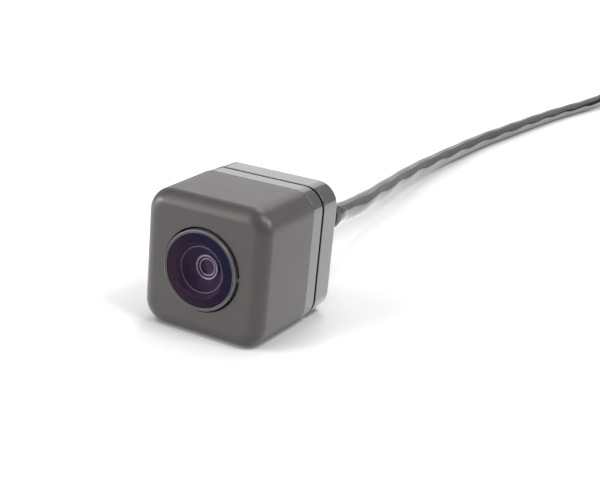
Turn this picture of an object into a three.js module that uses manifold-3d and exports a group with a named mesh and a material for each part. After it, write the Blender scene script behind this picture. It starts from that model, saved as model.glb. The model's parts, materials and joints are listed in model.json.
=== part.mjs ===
// A cube backup camera on its cable. Millimetres, +Z up, the lens looks along -Y.
// The head stands on the ground at Z = 0. The cable runs back along the ground to a put-away coil and a screw plug.
import * as THREE from 'three';
import { mergeVertices } from 'three/addons/utils/BufferGeometryUtils.js';
import Module from 'manifold-3d';

const wasm = await Module();
wasm.setup();

// Housing: the four stacked pieces seen from outside
const bodyWidth = 24;
const bodyHeight = 24;
const shellLength = 15;
const bandLength = 3.4;
const gasketThickness = 0.4;
const coverLength = 5.4;
const cornerRadius = 4;
const frontFillet = 2.5;
const rearFillet = 0.7;
const shellDraft = 0.45;
const wall = 1.6;
const frontWall = 2.2;
const backWall = 2;
const gasketInset = 0.35;
const gasketWidth = 1.15;
const ledgeStart = 1.2;
const ledgeDepth = 1;
const ledgeWidth = 1.3;

// Lens group, depths counted from the front plane of the housing
const trimRadius = 6.85;
const trimProud = 0.65;
const trimWindowRadius = 6.33;
const trimWall = 0.3;
const trimLength = 2;
const trimLip = 0.35;
const keyWidth = 0.7;
const keyHeight = 0.6;
const trimGroove = 0.3;
const lensProud = 1;
const frontLensRim = 1.2;
const frontLensThickness = 0.85;
const frontLensStep = 0.55;
const frontLensBack = 5;
const frontLensHollow = 4.1;
const barrelRadius = 5.95;
const barrelWall = 1.25;
const sealThickness = 0.76;
const baffleLength = 1.7;
const baffleMouth = 3.9;
const baffleThroat = 2.05;
const innerLensRadius = 3.45;
const secondLensThickness = 1.5;
const stopThickness = 0.2;
const stopRadius = 0.9;
const thirdLensThickness = 1.2;
const spacerLength = 0.5;
const spacerWidth = 0.8;
const rearLensThickness = 1.2;
const retainerLength = 0.7;
const retainerWidth = 1;
const filterThickness = 0.3;

// Holder, boards and what is soldered to them
const holderWall = 1.2;
const holderBase = 12.6;
const holderBaseThickness = 1.6;
const earGap = 1;
const earHalfHeight = 1.9;
const earScrewInset = 1.5;
const earScrewRadius = 0.75;
const earScrewHead = 1.35;
const earScrewHeadHeight = 0.8;
const sensorGap = 9.2;
const boardGap = 0.4;
const boardThickness = 1;
const boardNotch = 4.4;
const sensorWidth = 7.4;
const sensorHeight = 6.6;
const sensorThickness = 1;
const sensorGlassThickness = 0.4;
const sensorGlassInset = 0.5;
const chipBevel = 0.15;
const connectorWidth = 9;
const connectorHeight = 3.2;
const processorSize = 7;
const processorThickness = 0.9;
const processorTopInset = 2.3;
const processorSideInset = 3.3;
const inductorSize = 4;
const inductorThickness = 2;
const inductorInset = 3.4;
const capacitorRadius = 2;
const capacitorLength = 3.6;
const capacitorInset = 1.8;
const capacitorGap = 1.8;
const crystalWidth = 3.2;
const crystalHeight = 2.5;
const crystalThickness = 0.8;
const crystalInset = 1.4;
const crystalGap = 0.65;
const headerWidth = 7;
const headerHeight = 3.2;
const headerLength = 1.8;
const headerInset = 1.4;
const wireHousingLength = 1.6;
const wireRadius = 0.4;
const wirePitch = 1.4;
const wireFan = 0.55;

// Screws at the four corners, driven from behind
const screwInset = 3.4;
const postRadius = 2;
const screwRadius = 1;
const screwReach = 7;
const screwHeadRadius = 1.75;
const screwHeadHeight = 1.2;
const screwRecessDepth = 1.5;
const crossLength = 2;
const crossWidth = 0.45;
const crossDepth = 0.7;

// Cable gland on the back
const glandDrop = 0.6;
const collarRadius = 7.4;
const collarLength = 2;
const spigotRadius = 5.2;
const spigotWall = 1.3;
const nutRadius = 7;
const nutLength = 8.5;
const nutEndWall = 1.2;
const nutEdge = 1;
const nutFlutes = 10;
const fluteRadius = 1.1;
const fluteDepth = 0.35;
const fluteRun = 5.6;
const reliefFlangeLength = 0.7;
const reliefRadius = 4.1;
const reliefTip = 2.75;
const reliefLength = 12;
const reliefDroop = 8;
const reliefRibs = 4;
const reliefRibDepth = 0.4;
const entryReach = 0.8;

// Cable: its free stretch, then the coil
const cableDiameter = 4.35;
const endGap = 0.3;
const coilX = 24.2;
const coilY = 314;
const coilOuterRadius = 24.3;
const coilStartAngle = 180;
const coilFullTurns = 4;
const turnGap = 0.6;
const stepsPerTurn = 24;
const coilSides = 6;
const tieThickness = 0.6;
const tieGap = 0.3;
const tieWidth = 6;
const tieAngles = [90, 270];

// Plug on the far end, depths counted from its nose
const plugRadius = 7.9;
const plugLength = 42;
const plugGripLength = 15;
const plugTailRadius = 3.1;
const plugSpigotRadius = 5;
const plugFlutes = 8;
const plugFluteDepth = 0.5;
const plugFluteRadius = 1.6;
const couplingRadius = 7.3;
const couplingLength = 14.3;
const couplingThreadRadius = 6.2;
const couplingThreadLength = 9;
const couplingRidges = 22;
const ridgeDepth = 0.35;
const carrierRecess = 3.8;
const carrierRadius = 4.2;
const carrierFlangeRadius = 5.9;
const carrierFlangeLength = 1.5;
const carrierTailRadius = 4;
const carrierTailLength = 7.3;
const pinRadius = 0.45;
const pinOffset = 1.7;
const pinProud = 2.6;
const pinLength = 8.6;
const plugSealRadius = 0.72;

// Clearances
const slip = 0.1;
const loose = 0.15;
const running = 0.08;
const seat = 0.05;

// Worked out from the above
const bodyDepth = shellLength + bandLength + gasketThickness + coverLength;
const glandLength = collarLength + endGap + nutLength;
const headY = -(bodyDepth + glandLength - lensProud) / 2;
const reliefFlangeStart = bodyDepth + glandLength - nutEndWall - seat - reliefFlangeLength;
const spigotEnd = reliefFlangeStart - endGap;
const bandStart = shellLength;
const gasketStart = bandStart + bandLength;
const coverStart = gasketStart + gasketThickness;
const centreHeight = bodyHeight / 2;
const lensHeight = (bodyHeight - shellDraft) / 2;
const cableRadius = cableDiameter / 2;
const trimEnd = trimLength - trimProud;
const grooveRadius = trimRadius + trimGroove;
const pocketDepth = trimEnd + seat + sealThickness + seat;
const glandHeight = centreHeight - glandDrop;
const boardStart = frontWall + sensorGap;
const mainBoardEnd = bandStart + ledgeStart;
const mainBoardStart = mainBoardEnd - boardThickness;
const boardPitch = mainBoardStart - boardStart - boardThickness;
const boardWidth = bodyWidth - 2 * (wall + boardGap);
const boardHeight = bodyHeight - 2 * (wall + boardGap);
const earReach = bodyWidth / 2 - wall - earGap;
const earScrewOffset = earReach - earScrewInset;
const headerZ = -boardHeight / 2 + headerInset + headerHeight / 2;

const front = { color: 0x35332f, roughness: 0.72, metalness: 0 };
const gloss = { color: 0x1b1a1b, roughness: 0.22, metalness: 0 };
const rubber = { color: 0x141414, roughness: 0.8, metalness: 0 };
const glass = { color: 0x1a1628, roughness: 0.04, metalness: 0 };
const blackMetal = { color: 0x1c1c1e, roughness: 0.45, metalness: 0.8 };
const steel = { color: 0x9a9a9c, roughness: 0.3, metalness: 1 };
const gold = { color: 0xc8a24a, roughness: 0.25, metalness: 1 };
const board = { color: 0x14502c, roughness: 0.5, metalness: 0 };
const blackPlastic = { color: 0x202022, roughness: 0.5, metalness: 0 };
const sheath = { color: 0x161617, roughness: 0.25, metalness: 0 };
const strap = { color: 0x1d1d1f, roughness: 0.9, metalness: 0 };

function piece(name, geometry, finish) {
  const mesh = new THREE.Mesh(geometry, new THREE.MeshStandardMaterial(finish));
  mesh.name = name;
  return mesh;
}

function toSolid(geometry) {
  const bare = geometry.clone();
  bare.deleteAttribute('normal');
  bare.deleteAttribute('uv');
  const merged = mergeVertices(bare, 1e-5);
  const vertProperties = new Float32Array(merged.attributes.position.array);
  const triVerts = new Uint32Array(merged.index.array);
  return new wasm.Manifold(new wasm.Mesh({ numProp: 3, vertProperties, triVerts }));
}

function toGeometry(solid) {
  const mesh = solid.getMesh();
  const geometry = new THREE.BufferGeometry();
  geometry.setAttribute('position', new THREE.BufferAttribute(new Float32Array(mesh.vertProperties), 3));
  geometry.setIndex(new THREE.BufferAttribute(new Uint32Array(mesh.triVerts), 1));
  return geometry;
}

function cut(geometry, ...tools) {
  const solid = tools.reduce((left, tool) => left.subtract(toSolid(tool)), toSolid(geometry));
  return toGeometry(solid);
}

function join(...geometries) {
  return toGeometry(geometries.slice(1).reduce((sum, next) => sum.add(toSolid(next)), toSolid(geometries[0])));
}

// Skins a row of point rings, which run anticlockwise seen from the side that the row starts at.
function loft(rings, closed = false) {
  const count = rings[0].length;
  const positions = rings.flat().flatMap((point) => [point.x, point.y, point.z]);
  const index = [];
  const rows = closed ? rings.length : rings.length - 1;
  for (let row = 0; row < rows; row++) {
    const here = row * count;
    const next = ((row + 1) % rings.length) * count;
    for (let side = 0; side < count; side++) {
      const turn = (side + 1) % count;
      index.push(here + side, next + side, next + turn, here + side, next + turn, here + turn);
    }
  }
  const last = (rings.length - 1) * count;
  for (let side = 1; !closed && side < count - 1; side++) {
    index.push(0, side, side + 1, last, last + side + 1, last + side);
  }
  const geometry = new THREE.BufferGeometry();
  geometry.setAttribute('position', new THREE.Float32BufferAttribute(positions, 3));
  geometry.setIndex(index);
  return geometry;
}

// A rectangle with round corners across the camera's axis, between two heights.
function frameRing(halfWidth, low, high, radius, y) {
  const steps = 6;
  const middle = (low + high) / 2;
  const half = (high - low) / 2;
  const points = [];
  for (let quarter = 0; quarter < 4; quarter++) {
    for (let step = 0; step <= steps; step++) {
      const angle = ((quarter + step / steps) * Math.PI) / 2;
      const sideX = quarter === 0 || quarter === 3 ? 1 : -1;
      const sideZ = quarter < 2 ? 1 : -1;
      const x = sideX * (halfWidth - radius) + radius * Math.cos(angle);
      const z = middle + sideZ * (half - radius) + radius * Math.sin(angle);
      points.push(new THREE.Vector3(x, y, z));
    }
  }
  return points;
}

// The housing's outline at a depth, drawn in by an inset. Only the front shell has draft, on its sides and top.
function bodyRing(y, inset) {
  const draft = shellDraft * Math.max(0, 1 - Math.max(y, 0) / shellLength);
  const radius = Math.max(cornerRadius - inset, 0.3);
  return frameRing(bodyWidth / 2 - draft - inset, inset, bodyHeight - draft - inset, radius, y);
}

function lathe(profile, segments = 32) {
  return new THREE.LatheGeometry(profile.map(([radius, y]) => new THREE.Vector2(radius, y)), segments);
}

function rod(radius, start, end, segments = 24) {
  return lathe([[0, start], [radius, start], [radius, end], [0, end]], segments);
}

function tube(inner, outer, start, end, segments = 32) {
  return lathe([[inner, start], [outer, start], [outer, end], [inner, end], [inner, start]], segments);
}

function ringSeal(radius, thickness, y, segments = 32) {
  const sides = 8;
  const profile = [];
  for (let side = 0; side <= sides; side++) {
    const angle = ((side % sides) / sides) * 2 * Math.PI;
    profile.push([radius + (thickness / 2) * Math.cos(angle), y + (thickness / 2) * Math.sin(angle)]);
  }
  return lathe(profile, segments);
}

// A flat outline in X and Z, made thick along Y between two depths.
function slab(shape, start, end, bevel = 0) {
  const geometry = new THREE.ExtrudeGeometry(shape, {
    depth: end - start - 2 * bevel,
    bevelEnabled: bevel > 0,
    bevelThickness: bevel,
    bevelSize: bevel,
    bevelOffset: -bevel,
    bevelSegments: 1,
    curveSegments: 8,
  });
  return geometry.rotateX(Math.PI / 2).translate(0, end - bevel, 0);
}

function rectangle(width, height, x = 0, z = 0) {
  const shape = new THREE.Shape();
  shape.moveTo(x - width / 2, z - height / 2);
  shape.lineTo(x + width / 2, z - height / 2);
  shape.lineTo(x + width / 2, z + height / 2);
  shape.lineTo(x - width / 2, z + height / 2);
  shape.closePath();
  return shape;
}

function cornerPlaces() {
  const places = [];
  for (const sideZ of [1, -1]) {
    for (const sideX of [-1, 1]) {
      places.push([
        sideX * (bodyWidth / 2 - screwInset),
        centreHeight + sideZ * (bodyHeight / 2 - screwInset),
      ]);
    }
  }
  return places;
}

function atCorners(geometry) {
  return cornerPlaces().map(([x, z]) => geometry.clone().translate(x, 0, z));
}

function frontShell() {
  const outer = [];
  const filletSteps = 5;
  for (let step = 0; step <= filletSteps; step++) {
    const angle = (step / filletSteps) * (Math.PI / 2);
    outer.push(bodyRing(frontFillet * (1 - Math.cos(angle)), frontFillet * (1 - Math.sin(angle))));
  }
  outer.push(bodyRing(shellLength, 0));
  const hollow = loft([bodyRing(frontWall, wall), bodyRing(shellLength + 1, wall)]);
  const seatBoss = rod(grooveRadius + wall, frontWall / 2, pocketDepth + 1, 32).translate(0, 0, lensHeight);
  const posts = atCorners(rod(postRadius, frontWall / 2, shellLength, 16));
  const pocket = rod(grooveRadius, -1, pocketDepth, 48).translate(0, 0, lensHeight);
  const bore = rod(barrelRadius + loose, 0, pocketDepth + 2, 32).translate(0, 0, lensHeight);
  const keyway = slab(rectangle(2 * grooveRadius, keyWidth + 2 * loose), -1, trimEnd + seat)
    .translate(grooveRadius - keyHeight + loose, 0, lensHeight);
  const screwHoles = atCorners(rod(screwRadius + loose, shellLength - screwReach, shellLength + 1, 12));
  const keyCut = cut(keyway, rod(grooveRadius + keyHeight, -2, -1.5, 8).translate(0, 0, lensHeight));
  const body = cut(loft(outer), hollow);
  return cut(join(body, seatBoss, ...posts), pocket, bore, trimKeySlot(keyCut), ...screwHoles);
}

// Keeps the key's slot to the key's own reach beyond the groove.
function trimKeySlot(bar) {
  const reach = rod(grooveRadius + keyHeight / 2, -2, trimEnd + seat, 48).translate(0, 0, lensHeight);
  return toGeometry(toSolid(bar).intersect(toSolid(reach)));
}

function midFrame() {
  const outer = loft([bodyRing(bandStart, 0), bodyRing(gasketStart, 0)]);
  const hollow = loft([bodyRing(bandStart - 1, wall), bodyRing(gasketStart + 1, wall)]);
  const ledge = loft([bodyRing(mainBoardEnd, wall / 2), bodyRing(mainBoardEnd + ledgeDepth, wall / 2)]);
  const ledgeHole = loft([
    bodyRing(mainBoardEnd - 1, wall + ledgeWidth),
    bodyRing(mainBoardEnd + ledgeDepth + 1, wall + ledgeWidth),
  ]);
  const posts = atCorners(rod(postRadius, bandStart, gasketStart, 16));
  const holes = atCorners(rod(screwRadius + loose, bandStart - 1, gasketStart + 1, 12));
  return cut(join(cut(outer, hollow), cut(ledge, ledgeHole), ...posts), ...holes);
}

function housingGasket() {
  const start = gasketStart;
  const end = coverStart;
  return cut(
    loft([bodyRing(start, gasketInset), bodyRing(end, gasketInset)]),
    loft([bodyRing(start - 1, gasketInset + gasketWidth), bodyRing(end + 1, gasketInset + gasketWidth)]),
  );
}

function rearCover() {
  const outer = [bodyRing(coverStart, 0)];
  const filletSteps = 3;
  for (let step = 0; step <= filletSteps; step++) {
    const angle = (step / filletSteps) * (Math.PI / 2);
    const y = bodyDepth - rearFillet * (1 - Math.sin(angle));
    outer.push(bodyRing(y, rearFillet * (1 - Math.cos(angle))));
  }
  const hollow = loft([bodyRing(coverStart - 1, wall), bodyRing(bodyDepth - backWall, wall)]);
  const posts = atCorners(rod(postRadius, coverStart, bodyDepth - backWall / 2, 16));
  const collar = rod(collarRadius, bodyDepth - backWall / 2, bodyDepth + collarLength, 32);
  const spigot = rod(spigotRadius, bodyDepth, spigotEnd, 24);
  const sealBore = rod(spigotRadius - spigotWall, bodyDepth + collarLength, spigotEnd + 1, 24);
  const cableBore = rod(cableRadius + slip, coverStart, spigotEnd + 1, 24);
  const onGland = (geometry) => geometry.translate(0, 0, glandHeight);
  const holes = atCorners(rod(screwRadius + loose, coverStart - 1, bodyDepth + 1, 12));
  const recesses = atCorners(rod(screwHeadRadius + loose, bodyDepth - screwRecessDepth, bodyDepth + 1, 16));
  const solid = join(cut(loft(outer), hollow), ...posts, onGland(collar), onGland(spigot));
  return cut(solid, onGland(sealBore), onGland(cableBore), ...holes, ...recesses);
}

function screw() {
  const seatY = bodyDepth - screwRecessDepth;
  const tip = shellLength - screwReach + endGap;
  const body = lathe([
    [0, tip],
    [screwRadius * 0.6, tip],
    [screwRadius, tip + screwRadius * 0.6],
    [screwRadius, seatY],
    [screwHeadRadius, seatY],
    [screwHeadRadius, seatY + screwHeadHeight * 0.7],
    [screwHeadRadius * 0.8, seatY + screwHeadHeight],
    [0, seatY + screwHeadHeight],
  ], 16);
  const top = seatY + screwHeadHeight;
  const slot = (width, height) => slab(rectangle(width, height), top - crossDepth, top + 1);
  return cut(body, slot(crossLength, crossWidth), slot(crossWidth, crossLength));
}

function lensTrimRing() {
  const bore = trimRadius - trimWall;
  const edge = trimLip / 2;
  const ring = lathe([
    [trimWindowRadius, -trimProud + edge],
    [trimWindowRadius + edge, -trimProud],
    [trimRadius - edge, -trimProud],
    [trimRadius, -trimProud + edge],
    [trimRadius, trimEnd],
    [bore, trimEnd],
    [bore, -trimProud + trimLip],
    [trimWindowRadius, -trimProud + trimLip],
    [trimWindowRadius, -trimProud + edge],
  ], 48);
  const reach = trimRadius + trimGroove + keyHeight / 2 - slip;
  const key = slab(rectangle(reach - trimRadius + trimWall / 2, keyWidth), 0, trimEnd)
    .translate((reach + trimRadius - trimWall / 2) / 2, 0, 0);
  return join(ring, key);
}

// The first lens: a low dome in front, a step that seats in the barrel, and a deep hollow behind.
function frontLens() {
  const rimRadius = trimRadius - trimWall - slip;
  const rimFront = -trimProud + trimLip + seat;
  const rimBack = rimFront + frontLensRim;
  const back = rimBack + frontLensStep;
  const profile = [...arcPoints(-lensProud, 0, rimFront, trimWindowRadius, 7), [rimRadius, rimFront]];
  profile.push([rimRadius, rimBack], [frontLensBack, rimBack], [frontLensBack, back], [frontLensHollow, back]);
  const hollow = arcPoints(-lensProud + frontLensThickness, 0, back, frontLensHollow, 5);
  profile.push(...hollow.reverse().slice(1));
  return lathe(profile, 32);
}

// Points on the circle that is square to the axis at apex and passes through the edge, from apex to edge.
function arcPoints(apexY, apexRadius, edgeY, edgeRadius, count) {
  const rise = edgeY - apexY;
  const radius = (edgeRadius * edgeRadius + rise * rise) / (2 * rise);
  const sweep = Math.asin(Math.min(1, edgeRadius / Math.abs(radius)));
  const points = [];
  for (let step = 0; step <= count; step++) {
    const angle = (step / count) * sweep;
    points.push([apexRadius + Math.abs(radius) * Math.sin(angle), apexY + radius * (1 - Math.cos(angle))]);
  }
  return points;
}

const lensStack = stackLenses();

// Depths of the pieces inside the barrel, one behind the other.
function stackLenses() {
  const rimFront = -trimProud + trimLip + seat;
  const cupFront = rimFront + frontLensRim + seat;
  const baffleStart = cupFront + frontLensStep + seat;
  const secondStart = baffleStart + baffleLength + seat;
  const stopStart = secondStart + secondLensThickness + seat;
  const thirdStart = stopStart + stopThickness + seat;
  const spacerStart = thirdStart + thirdLensThickness + seat;
  const rearStart = spacerStart + spacerLength + seat;
  const retainerStart = rearStart + rearLensThickness + seat;
  const filterStart = retainerStart + retainerLength + seat;
  const barrelEnd = filterStart + filterThickness + seat;
  return {
    cupFront, baffleStart, secondStart, stopStart, thirdStart,
    spacerStart, rearStart, retainerStart, filterStart, barrelEnd,
  };
}

function lensBarrel() {
  const cup = trimRadius - trimWall - slip;
  const { cupFront, baffleStart, barrelEnd } = lensStack;
  const bore = innerLensRadius + slip;
  const wideBore = barrelRadius - barrelWall;
  return lathe([
    [frontLensBack + slip, cupFront],
    [cup, cupFront],
    [cup, trimEnd],
    [barrelRadius, trimEnd],
    [barrelRadius, barrelEnd],
    [bore, barrelEnd],
    [bore, baffleStart + baffleLength],
    [wideBore, baffleStart + baffleLength],
    [wideBore, baffleStart],
    [frontLensBack + slip, baffleStart],
    [frontLensBack + slip, cupFront],
  ]);
}

function baffleRing() {
  const start = lensStack.baffleStart;
  const outer = barrelRadius - barrelWall - slip;
  return lathe([
    [baffleMouth, start],
    [outer, start],
    [outer, start + baffleLength],
    [baffleThroat, start + baffleLength],
    [baffleThroat, start + baffleLength * 0.7],
    [baffleMouth, start],
  ]);
}

// A lens inside the barrel: each face is a low arc, swelling outwards by its own bulge.
function innerLens(start, thickness, frontBulge, backBulge) {
  const edge = innerLensRadius * 0.86;
  const frontEdge = start + Math.max(frontBulge, 0);
  const backEdge = start + thickness - Math.max(backBulge, 0);
  const profile = arcPoints(frontEdge - frontBulge, 0, frontEdge, edge, 3);
  profile.push([innerLensRadius, frontEdge], [innerLensRadius, backEdge]);
  profile.push(...arcPoints(backEdge + backBulge, 0, backEdge, edge, 3).reverse());
  return lathe(profile, 20);
}

function lensHolder() {
  const towerFront = frontWall + 1.2;
  const baseStart = boardStart - holderBaseThickness;
  const { barrelEnd } = lensStack;
  const outer = barrelRadius + loose + holderWall;
  const tower = rod(outer, towerFront, boardStart - holderBaseThickness / 2, 32);
  const base = slab(rectangle(holderBase, holderBase), baseStart, boardStart, chipBevel);
  const ears = slab(rectangle(2 * earReach, 2 * earHalfHeight), baseStart, boardStart, chipBevel);
  const bore = rod(barrelRadius + slip, 0, barrelEnd + seat, 32);
  const window = slab(rectangle(sensorWidth + 2, sensorHeight + 2), barrelEnd - 1, boardStart + 1);
  const hole = rod(earScrewRadius + loose, baseStart - 1, boardStart + 1, 12);
  const holes = [-1, 1].map((side) => hole.clone().translate(side * earScrewOffset, 0, 0));
  return cut(join(tower, base, ears), bore, window, ...holes);
}

function holderScrew() {
  const seatY = boardStart + boardThickness;
  return lathe([
    [0, boardStart - holderBaseThickness + endGap],
    [earScrewRadius, boardStart - holderBaseThickness + endGap],
    [earScrewRadius, seatY],
    [earScrewHead, seatY],
    [earScrewHead, seatY + earScrewHeadHeight * 0.6],
    [earScrewHead * 0.75, seatY + earScrewHeadHeight],
    [0, seatY + earScrewHeadHeight],
  ], 16);
}

// A board with its corners notched round the screw posts.
function boardShape() {
  const halfX = boardWidth / 2;
  const halfZ = boardHeight / 2;
  const shape = new THREE.Shape();
  shape.moveTo(boardNotch - halfX, -halfZ);
  shape.lineTo(halfX - boardNotch, -halfZ);
  shape.absarc(halfX, -halfZ, boardNotch, Math.PI, Math.PI / 2, true);
  shape.lineTo(halfX, halfZ - boardNotch);
  shape.absarc(halfX, halfZ, boardNotch, -Math.PI / 2, -Math.PI, true);
  shape.lineTo(boardNotch - halfX, halfZ);
  shape.absarc(-halfX, halfZ, boardNotch, 0, -Math.PI / 2, true);
  shape.lineTo(-halfX, boardNotch - halfZ);
  shape.absarc(-halfX, -halfZ, boardNotch, Math.PI / 2, 0, true);
  return shape;
}

function sensorBoard() {
  const plate = slab(boardShape(), boardStart, boardStart + boardThickness).translate(0, 0, centreHeight);
  const hole = rod(earScrewRadius + loose, boardStart - 1, boardStart + 2, 12);
  const holes = [-1, 1].map((side) => hole.clone().translate(side * earScrewOffset, 0, lensHeight));
  return cut(plate, ...holes);
}

function mainBoard() {
  return slab(boardShape(), mainBoardStart, mainBoardEnd).translate(0, 0, centreHeight);
}

function boardPlugHalf() {
  const start = boardStart + boardThickness;
  return slab(rectangle(connectorWidth, connectorHeight), start, start + boardPitch / 2 - seat, chipBevel);
}

function boardSocketHalf() {
  const end = mainBoardStart;
  return slab(rectangle(connectorWidth + 0.8, connectorHeight + 0.8), end - boardPitch / 2 + seat, end, chipBevel);
}

function capacitor() {
  const start = mainBoardEnd;
  const radius = capacitorRadius;
  return lathe([
    [0, start],
    [radius, start],
    [radius, start + 0.6],
    [radius * 0.94, start + 0.75],
    [radius, start + 0.9],
    [radius, start + capacitorLength - 0.2],
    [radius * 0.9, start + capacitorLength],
    [0, start + capacitorLength],
  ], 20);
}

function wireHousing() {
  const start = mainBoardEnd + headerLength + seat;
  return slab(rectangle(headerWidth - 0.8, headerHeight - 0.8), start, start + wireHousingLength, chipBevel);
}

// An inner wire: up from its place in the wire housing, then back into its place in the cable's end.
function innerWire(order) {
  const houseX = (order - 1.5) * wirePitch;
  const houseY = mainBoardEnd + headerLength + seat + wireHousingLength / 2;
  const houseZ = centreHeight + headerZ + (headerHeight - 0.8) / 2 + seat;
  const isOuter = order === 0 || order === 3;
  const endX = Math.sign(houseX) * (isOuter ? wireFan * 2 : wireFan);
  const endY = entryStart() - seat;
  const endZ = glandHeight + (isOuter ? wireFan : -wireFan * 1.4);
  const bend = (endY - houseY) * 0.6;
  const path = new THREE.CatmullRomCurve3([
    new THREE.Vector3(houseX, houseY, houseZ),
    new THREE.Vector3(houseX, houseY, houseZ + 1),
    new THREE.Vector3((houseX * 2 + endX) / 3, houseY, (houseZ + endZ) / 2),
    new THREE.Vector3(endX, houseY + bend * 0.2, endZ - bend),
    new THREE.Vector3(endX, endY - bend * 0.6, endZ - bend * 0.15),
    new THREE.Vector3(endX, endY, endZ),
  ], false, 'centripetal');
  return new THREE.ExtrudeGeometry(disc(wireRadius, 6), { steps: 12, bevelEnabled: false, extrudePath: path });
}

function disc(radius, sides) {
  const shape = new THREE.Shape();
  for (let side = 0; side < sides; side++) {
    const angle = (side / sides) * 2 * Math.PI;
    const x = radius * Math.cos(angle);
    const y = radius * Math.sin(angle);
    if (side === 0) shape.moveTo(x, y);
    else shape.lineTo(x, y);
  }
  shape.closePath();
  return shape;
}

function glandSeal() {
  const start = bodyDepth + collarLength;
  return tube(cableRadius + slip / 2, spigotRadius - spigotWall - slip / 2, start, spigotEnd - seat, 24);
}

function glandNut() {
  const start = bodyDepth + collarLength + endGap;
  const end = start + nutLength;
  const lip = reliefRadius + slip;
  const body = lathe([
    [spigotRadius + slip, start],
    [nutRadius - nutEdge / 2, start],
    [nutRadius, start + nutEdge / 2],
    [nutRadius, end - nutEdge],
    [nutRadius - nutEdge * 0.3, end - nutEdge * 0.3],
    [nutRadius - nutEdge, end],
    [lip, end],
    [lip, end - nutEndWall],
    [spigotRadius + slip, end - nutEndWall],
    [spigotRadius + slip, start],
  ]);
  const flute = rod(fluteRadius, end - fluteRun, end + 1, 12).translate(nutRadius + fluteRadius - fluteDepth, 0, 0);
  const flutes = [];
  for (let order = 0; order < nutFlutes; order++) {
    flutes.push(flute.clone().rotateY(((order + 0.5) / nutFlutes) * 2 * Math.PI));
  }
  return cut(body, ...flutes);
}

// The strain relief leaves the nut straight and bends down by its droop, on an arc of its own length.
function reliefCentre(distance) {
  const start = bodyDepth + glandLength;
  if (distance <= 0) return { y: start + distance, z: glandHeight, pitch: 0 };
  const pitch = THREE.MathUtils.degToRad(reliefDroop) * (distance / reliefLength);
  const radius = distance / pitch;
  return { y: start + radius * Math.sin(pitch), z: glandHeight - radius * (1 - Math.cos(pitch)), pitch };
}

function reliefRing(distance, radius, sides = 16) {
  const { y, z, pitch } = reliefCentre(distance);
  const points = [];
  for (let side = 0; side < sides; side++) {
    const angle = (side / sides) * 2 * Math.PI;
    const up = radius * Math.sin(angle);
    points.push(new THREE.Vector3(radius * Math.cos(angle), y + up * Math.sin(pitch), z + up * Math.cos(pitch)));
  }
  return points;
}

function strainRelief() {
  const flangeStart = reliefFlangeStart - bodyDepth - glandLength;
  const flangeEnd = flangeStart + reliefFlangeLength;
  const flangeRadius = spigotRadius - slip;
  const rings = [reliefRing(flangeStart, flangeRadius), reliefRing(flangeEnd, flangeRadius)];
  rings.push(reliefRing(flangeEnd, reliefRadius), reliefRing(0, reliefRadius));
  const taperAt = (share) => reliefRadius + (reliefTip - reliefRadius) * share;
  const ribPitch = 1 / (reliefRibs + 1);
  for (let rib = 0; rib < reliefRibs; rib++) {
    for (const [share, dip] of [[0.45, 0], [0.55, 1], [0.75, 1], [0.85, 0]]) {
      const along = (rib + share) * ribPitch;
      rings.push(reliefRing(along * reliefLength, taperAt(along) - dip * reliefRibDepth));
    }
  }
  rings.push(reliefRing(reliefLength * 0.96, taperAt(0.96)));
  rings.push(reliefRing(reliefLength, reliefTip - reliefRibDepth / 2));
  const bore = cableRadius + slip;
  for (const share of [1, 0.75, 0.5, 0.25, 0]) {
    rings.push(reliefRing(share * reliefLength, bore));
  }
  rings.push(reliefRing(flangeStart, bore));
  return loft(rings, true);
}

function entryStart() {
  return bodyDepth - backWall - entryReach;
}

function cableEntry() {
  const back = bodyDepth + glandLength;
  const rings = [reliefRing(entryStart() - back, cableRadius, 12), reliefRing(0, cableRadius, 12)];
  for (const share of [0.25, 0.5, 0.75, 1]) {
    rings.push(reliefRing(share * reliefLength, cableRadius, 12));
  }
  return loft(rings);
}

const turnPitch = cableDiameter + turnGap;
const lowTurn = tieThickness + tieGap + cableRadius;
const highTurn = lowTurn + turnPitch;
const turns = coilFullTurns + coilStartAngle / 360;

// The coil winds in on the lower layer, climbs in the half turn where it reverses, and winds out on the upper one.
function coilPoint(turned) {
  const half = turns / 2;
  const fromMiddle = turned - half;
  const climb = 0.25;
  const near = Math.abs(fromMiddle) < climb;
  const away = near ? (fromMiddle * fromMiddle) / (2 * climb) + climb / 2 : Math.abs(fromMiddle);
  const radius = coilOuterRadius - turnPitch * (half - away);
  const rise = near ? THREE.MathUtils.smoothstep(fromMiddle, -climb, climb) : Number(fromMiddle > 0);
  const angle = THREE.MathUtils.degToRad(coilStartAngle) - turned * 2 * Math.PI;
  return new THREE.Vector3(
    coilX + radius * Math.cos(angle),
    coilY + radius * Math.sin(angle),
    lowTurn + rise * (highTurn - lowTurn),
  );
}

// The unit direction in which the cable enters or leaves the coil, square to the radius at that angle.
function coilHeading(degrees) {
  const angle = THREE.MathUtils.degToRad(degrees);
  return new THREE.Vector3(Math.sin(angle), -Math.cos(angle), 0);
}

function coilPath() {
  const points = [];
  const steps = Math.round(turns * stepsPerTurn);
  const enter = coilHeading(coilStartAngle);
  const leave = coilHeading(0);
  for (let step = 0; step <= steps; step++) {
    points.push(coilPoint((step / steps) * turns));
  }
  points.unshift(points[0].clone().addScaledVector(enter, -cableDiameter));
  points.push(points[points.length - 1].clone().addScaledVector(leave, cableDiameter));
  return points;
}

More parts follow.
